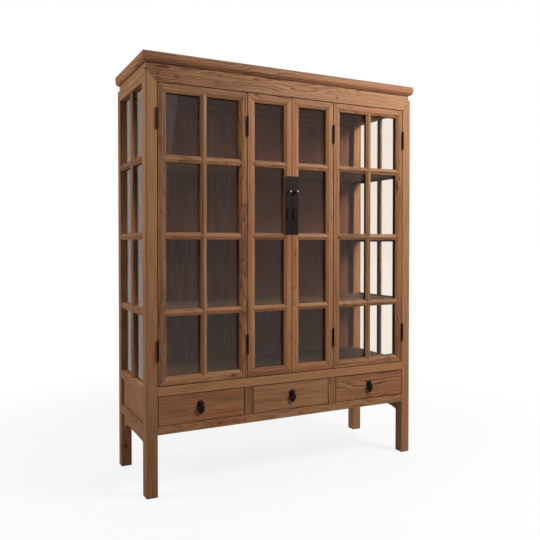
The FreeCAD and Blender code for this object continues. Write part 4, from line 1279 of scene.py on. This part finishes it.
def pull_rose_parts(x):
    """Domed rose with a rolled rim, two ears and the pin of the drop."""
    parts = [turned(round_rows(ROSE_ROWS), (x, FRONT, PULL_Z), (0, -1, 0), 40)]
    for side in (-1, 1):
        inner = x + side * 3.8 * MM
        outer = inner + side * 2.5 * MM
        low = (min(inner, outer), PULL_PIN_Y - 4 * MM, PULL_Z - 4 * MM)
        high = (max(inner, outer), FRONT - 2 * MM, PULL_Z + 4 * MM)
        parts.append(slab(low, high, 0, 3.4 * MM, 0.4 * MM))
    rows = [(0, -7.0), (1.9, -6.9), (2.1, -6.2), (1.6, -5.8), (1.6, 5.8), (2.1, 6.2), (1.9, 6.9),
            (0, 7.0)]
    parts.append(turned(plain_rows(rows), (x, PULL_PIN_Y, PULL_Z), (1, 0, 0), 16))
    return parts


class CABINET_OT_hinges(bpy.types.Operator):
    """Softens the edges of the butt hinges and blackens them"""
    bl_idname = "cabinet.hinges"
    bl_label = "Hinges"

    def execute(self, context):
        for node in frame["nodes"]:
            if node.endswith("_hinges"):
                dressed_copy(node, "iron", bevel=0.3 * MM, suffix="_iron")
        return {"FINISHED"}


class CABINET_OT_lock(bpy.types.Operator):
    """Makes the lock plates with their nails, the knobs and the hanging tabs"""
    bl_idname = "cabinet.lock"
    bl_label = "Lock plates"

    def execute(self, context):
        for side, sign in (("left", -1), ("right", 1)):
            door = side + "_narrow_door"
            low, high = span(side + "_lock_plate")
            plate_low = (low[0], FRONT - LOCK_PLATE, low[2])
            parts = [slab(plate_low, (high[0], FRONT, high[2]), 1, 1.2 * MM, 0.35 * MM)]
            for level in (low[2] + NAIL_INSET, high[2] - NAIL_INSET):
                place = ((low[0] + high[0]) / 2, FRONT - LOCK_PLATE, level)
                parts.append(turned(round_rows(NAIL_ROWS, 3), place, (0, -1, 0), 20))
            ironwork(side + "_lock_plate", parts, door, side + "_lock_plate")
            dark, knob = stud_parts(sign)
            ears, pin = tab_holder_parts(sign)
            stud = side + "_lock_stud"
            ironwork(stud, dark + ears, door, stud)
            ironwork(side + "_knob_and_pin", knob + pin, door, stud, "bright", 60)
            ironwork(side + "_lock_tab", tab_parts(sign), side + "_lock_tab", side + "_lock_tab")
        return {"FINISHED"}


class CABINET_OT_pulls(bpy.types.Operator):
    """Makes the roses and the hanging drops of the drawers"""
    bl_idname = "cabinet.pulls"
    bl_label = "Drawer pulls"

    def execute(self, context):
        for side in ("left", "middle", "right"):
            rose, drop = side + "_pull_rose", side + "_pull_drop"
            low, high = span(drop)
            x = (low[0] + high[0]) / 2
            ironwork(rose, pull_rose_parts(x), side + "_drawer", rose)
            ironwork(drop, [pull_drop_part(x)] + pull_eye_parts(x), side + "_drawer_pull", drop,
                     smooth_angle=50)
        return {"FINISHED"}


# Stage
CAMERA_PLACE = (-1.497, -2.9634, 1.147)
CAMERA_TURN = 26.54
CAMERA_TILT = 1.08
CAMERA_LENS = 41.556
CAMERA_SHIFT = (0.00615, -0.02716)
# Name, place, point aimed at, size in metres, power in watts and colour of each lamp
LAMPS = (("key", (1.85, -2.0, 2.95), (0.2, -0.2, 1.3), 1.3, 98, (1.0, 0.95, 0.9)),
         ("left", (-3.3, 0.5, 2.3), (-0.5, 0, 1.3), 1.4, 38, (1.0, 0.95, 0.91)))
FLOOR_REACH = 30.0
# Light that the studio gives matt surfaces: in front of the cabinet, and how much more behind
ROOM_LIGHT = 0.12
BACKDROP_LIGHT = 0.5
STUDIO_DARK = 0.06
# The warm white of the studio, seen through or mirrored by glass.
STUDIO_TINT = "FFFAF6"
BACKDROP_MIRRORED = 0.22
CARD_EDGE = (-0.9508, -0.2909, 0.1065)


def area_lamp(name, place, target, size, power, colour):
    """A round lamp that faces its target."""
    lamp = bpy.data.lights.new(name, "AREA")
    lamp.shape = "DISK"
    lamp.size = size
    lamp.energy = power
    lamp.color = colour
    holder = bpy.data.objects.new(name, lamp)
    holder.location = place
    aim = np.array(target) - np.array(place)
    flat = math.hypot(aim[0], aim[1])
    holder.rotation_euler = (math.atan2(flat, -aim[2]), 0, math.atan2(-aim[0], aim[1]))
    bpy.context.scene.collection.objects.link(holder)


def seen_rays(tree, reflected):
    """1 for rays from the camera or through glass, and the given share for mirrored ones.
    Rays that a matt surface has scattered are none of these, so that the white background
    gives the cabinet no light."""
    path = add(tree, "ShaderNodeLightPath").outputs
    straight = plus(tree, path["Is Camera Ray"], path["Is Transmission Ray"], True)
    mirror = times(tree, path["Is Glossy Ray"], reflected)
    unscattered = math_node(tree, "LESS_THAN", path["Diffuse Depth"], 0.5)
    seen = times(tree, math_node(tree, "MAXIMUM", straight, mirror), unscattered)
    return seen, path


class CABINET_OT_stage(bpy.types.Operator):
    """Sets the pale floor, the soft studio light and the camera"""
    bl_idname = "cabinet.stage"
    bl_label = "Stage"

    def execute(self, context):
        scene = context.scene
        scene.view_settings.view_transform = "Standard"
        self.floor(scene)
        self.sky(scene)
        for lamp in LAMPS:
            area_lamp(*lamp)
        lens = bpy.data.cameras.new("photo_view")
        lens.sensor_width = 36
        lens.lens = CAMERA_LENS
        lens.shift_x, lens.shift_y = CAMERA_SHIFT
        camera = bpy.data.objects.new("photo_view", lens)
        camera.location = CAMERA_PLACE
        camera.rotation_euler = (math.radians(90 - CAMERA_TILT), 0, math.radians(-CAMERA_TURN))
        scene.collection.objects.link(camera)
        scene.camera = camera
        return {"FINISHED"}

    def floor(self, scene):
        """A pale floor that keeps a soft shadow near the cabinet and goes white further out."""
        material = bpy.data.materials.new("Pale studio floor")
        tree = empty_tree(material)
        place = add(tree, "ShaderNodeTexCoord").outputs["Object"]
        behind = ranged(tree, split_vector(tree, place)[1], -1.5, 1.5, STUDIO_DARK,
                        BACKDROP_MIRRORED, "SMOOTHSTEP")
        seen, path = seen_rays(tree, behind)
        away = vector_node(tree, "LENGTH", place)[1]
        far = ranged(tree, away, 1.0, 3.2, 0.82, 1.0, "SMOOTHSTEP")
        share = times(tree, seen, far)
        bounced = times(tree, path["Is Diffuse Ray"], 0.35)
        plain = add(tree, "ShaderNodeBsdfDiffuse", inputs={"Color": summed(
            tree, bounced, times(tree, path["Is Camera Ray"], 0.6), 0.2)})
        tint = mixed(tree, path["Is Camera Ray"], linear(STUDIO_TINT), grey(1.0))
        glow = add(tree, "ShaderNodeEmission", inputs={"Color": tint, "Strength": 1.03})
        both = add(tree, "ShaderNodeMixShader", inputs={0: share, 1: plain.outputs[0],
                                                        2: glow.outputs[0]})
        add(tree, "ShaderNodeOutputMaterial", inputs={"Surface": both.outputs[0]})
        reach = FLOOR_REACH
        mesh = bpy.data.meshes.new("floor")
        mesh.from_pydata([(-reach, -reach, 0), (reach, -reach, 0), (reach, reach, 0),
                          (-reach, reach, 0)], [], [(0, 1, 2, 3)])
        mesh.materials.append(material)
        floor = bpy.data.objects.new("floor", mesh)
        scene.collection.objects.link(floor)

    def card(self, tree, way, split):
        """A pale card in front, to the right of the camera, that the top left panes mirror.
        It ends at a slanted edge, the plane across CARD_EDGE, and fades out downwards."""
        side = vector_node(tree, "DOT_PRODUCT", way, CARD_EDGE)[1]
        edge = ranged(tree, side, -0.0004, 0.0006)
        height = ranged(tree, split[2], 0.06, 0.22)
        in_front = math_node(tree, "LESS_THAN", split[1], -0.8)
        return times(tree, edge, times(tree, height, in_front))

    def sky(self, scene):
        """White to the camera and through glass. As light, the backdrop behind the cabinet
        is brighter than the dark side of the studio, where the camera stands."""
        world = bpy.data.worlds.new("Studio")
        scene.world = world
        tree = empty_tree(world)
        way = add(tree, "ShaderNodeTexCoord").outputs["Generated"]
        split = split_vector(tree, way)
        behind = ranged(tree, split[1], -0.6, 0.6, kind="SMOOTHSTEP")
        mirrored_level = plus(tree, times(tree, behind, BACKDROP_MIRRORED - STUDIO_DARK),
                              STUDIO_DARK)
        mirrored_level = plus(tree, mirrored_level, self.card(tree, way, split))
        light_level = plus(tree, times(tree, behind, BACKDROP_LIGHT), ROOM_LIGHT)
        seen, path = seen_rays(tree, mirrored_level)
        any_seen = math_node(tree, "CEIL", seen)
        light_share = times(tree, light_level, math_node(
            tree, "SUBTRACT", 1.0, any_seen))
        strength = plus(tree, seen, light_share)
        tint = mixed(tree, path["Is Camera Ray"], linear(STUDIO_TINT), grey(1.0))
        light = add(tree, "ShaderNodeBackground", inputs={"Color": tint, "Strength": strength})
        add(tree, "ShaderNodeOutputWorld", inputs={"Surface": light.outputs[0]})


class CABINET_PT_panel(bpy.types.Panel):
    """Lists the steps and sizes in the sidebar"""
    bl_idname = "CABINET_PT_panel"
    bl_label = "Display cabinet"
    bl_space_type = "VIEW_3D"
    bl_region_type = "UI"
    bl_category = "Cabinet"

    def draw(self, context):
        for step in STEPS:
            self.layout.operator(step.bl_idname)
        for group in (sizes(), colours()):
            for name in group.bl_rna.properties.keys():
                if name not in ("rna_type", "name"):
                    self.layout.prop(group, name)


STEPS = (CABINET_OT_frame, CABINET_OT_cornice, CABINET_OT_doors, CABINET_OT_sides,
         CABINET_OT_drawers, CABINET_OT_inside, CABINET_OT_glass, CABINET_OT_hinges,
         CABINET_OT_lock, CABINET_OT_pulls, CABINET_OT_stage)
CLASSES = (CabinetSizes, CabinetColours) + STEPS + (CABINET_PT_panel,)


def register():
    for kind in CLASSES:
        bpy.utils.register_class(kind)
    bpy.types.Scene.cabinet_sizes = bpy.props.PointerProperty(type=CabinetSizes)
    bpy.types.Scene.cabinet_colours = bpy.props.PointerProperty(type=CabinetColours)


def unregister():
    del bpy.types.Scene.cabinet_colours
    del bpy.types.Scene.cabinet_sizes
    for kind in reversed(CLASSES):
        bpy.utils.unregister_class(kind)


def main():
    register()
    for step in STEPS:
        group, name = step.bl_idname.split(".")
        getattr(getattr(bpy.ops, group), name)()


if __name__ == "__main__":
    main()
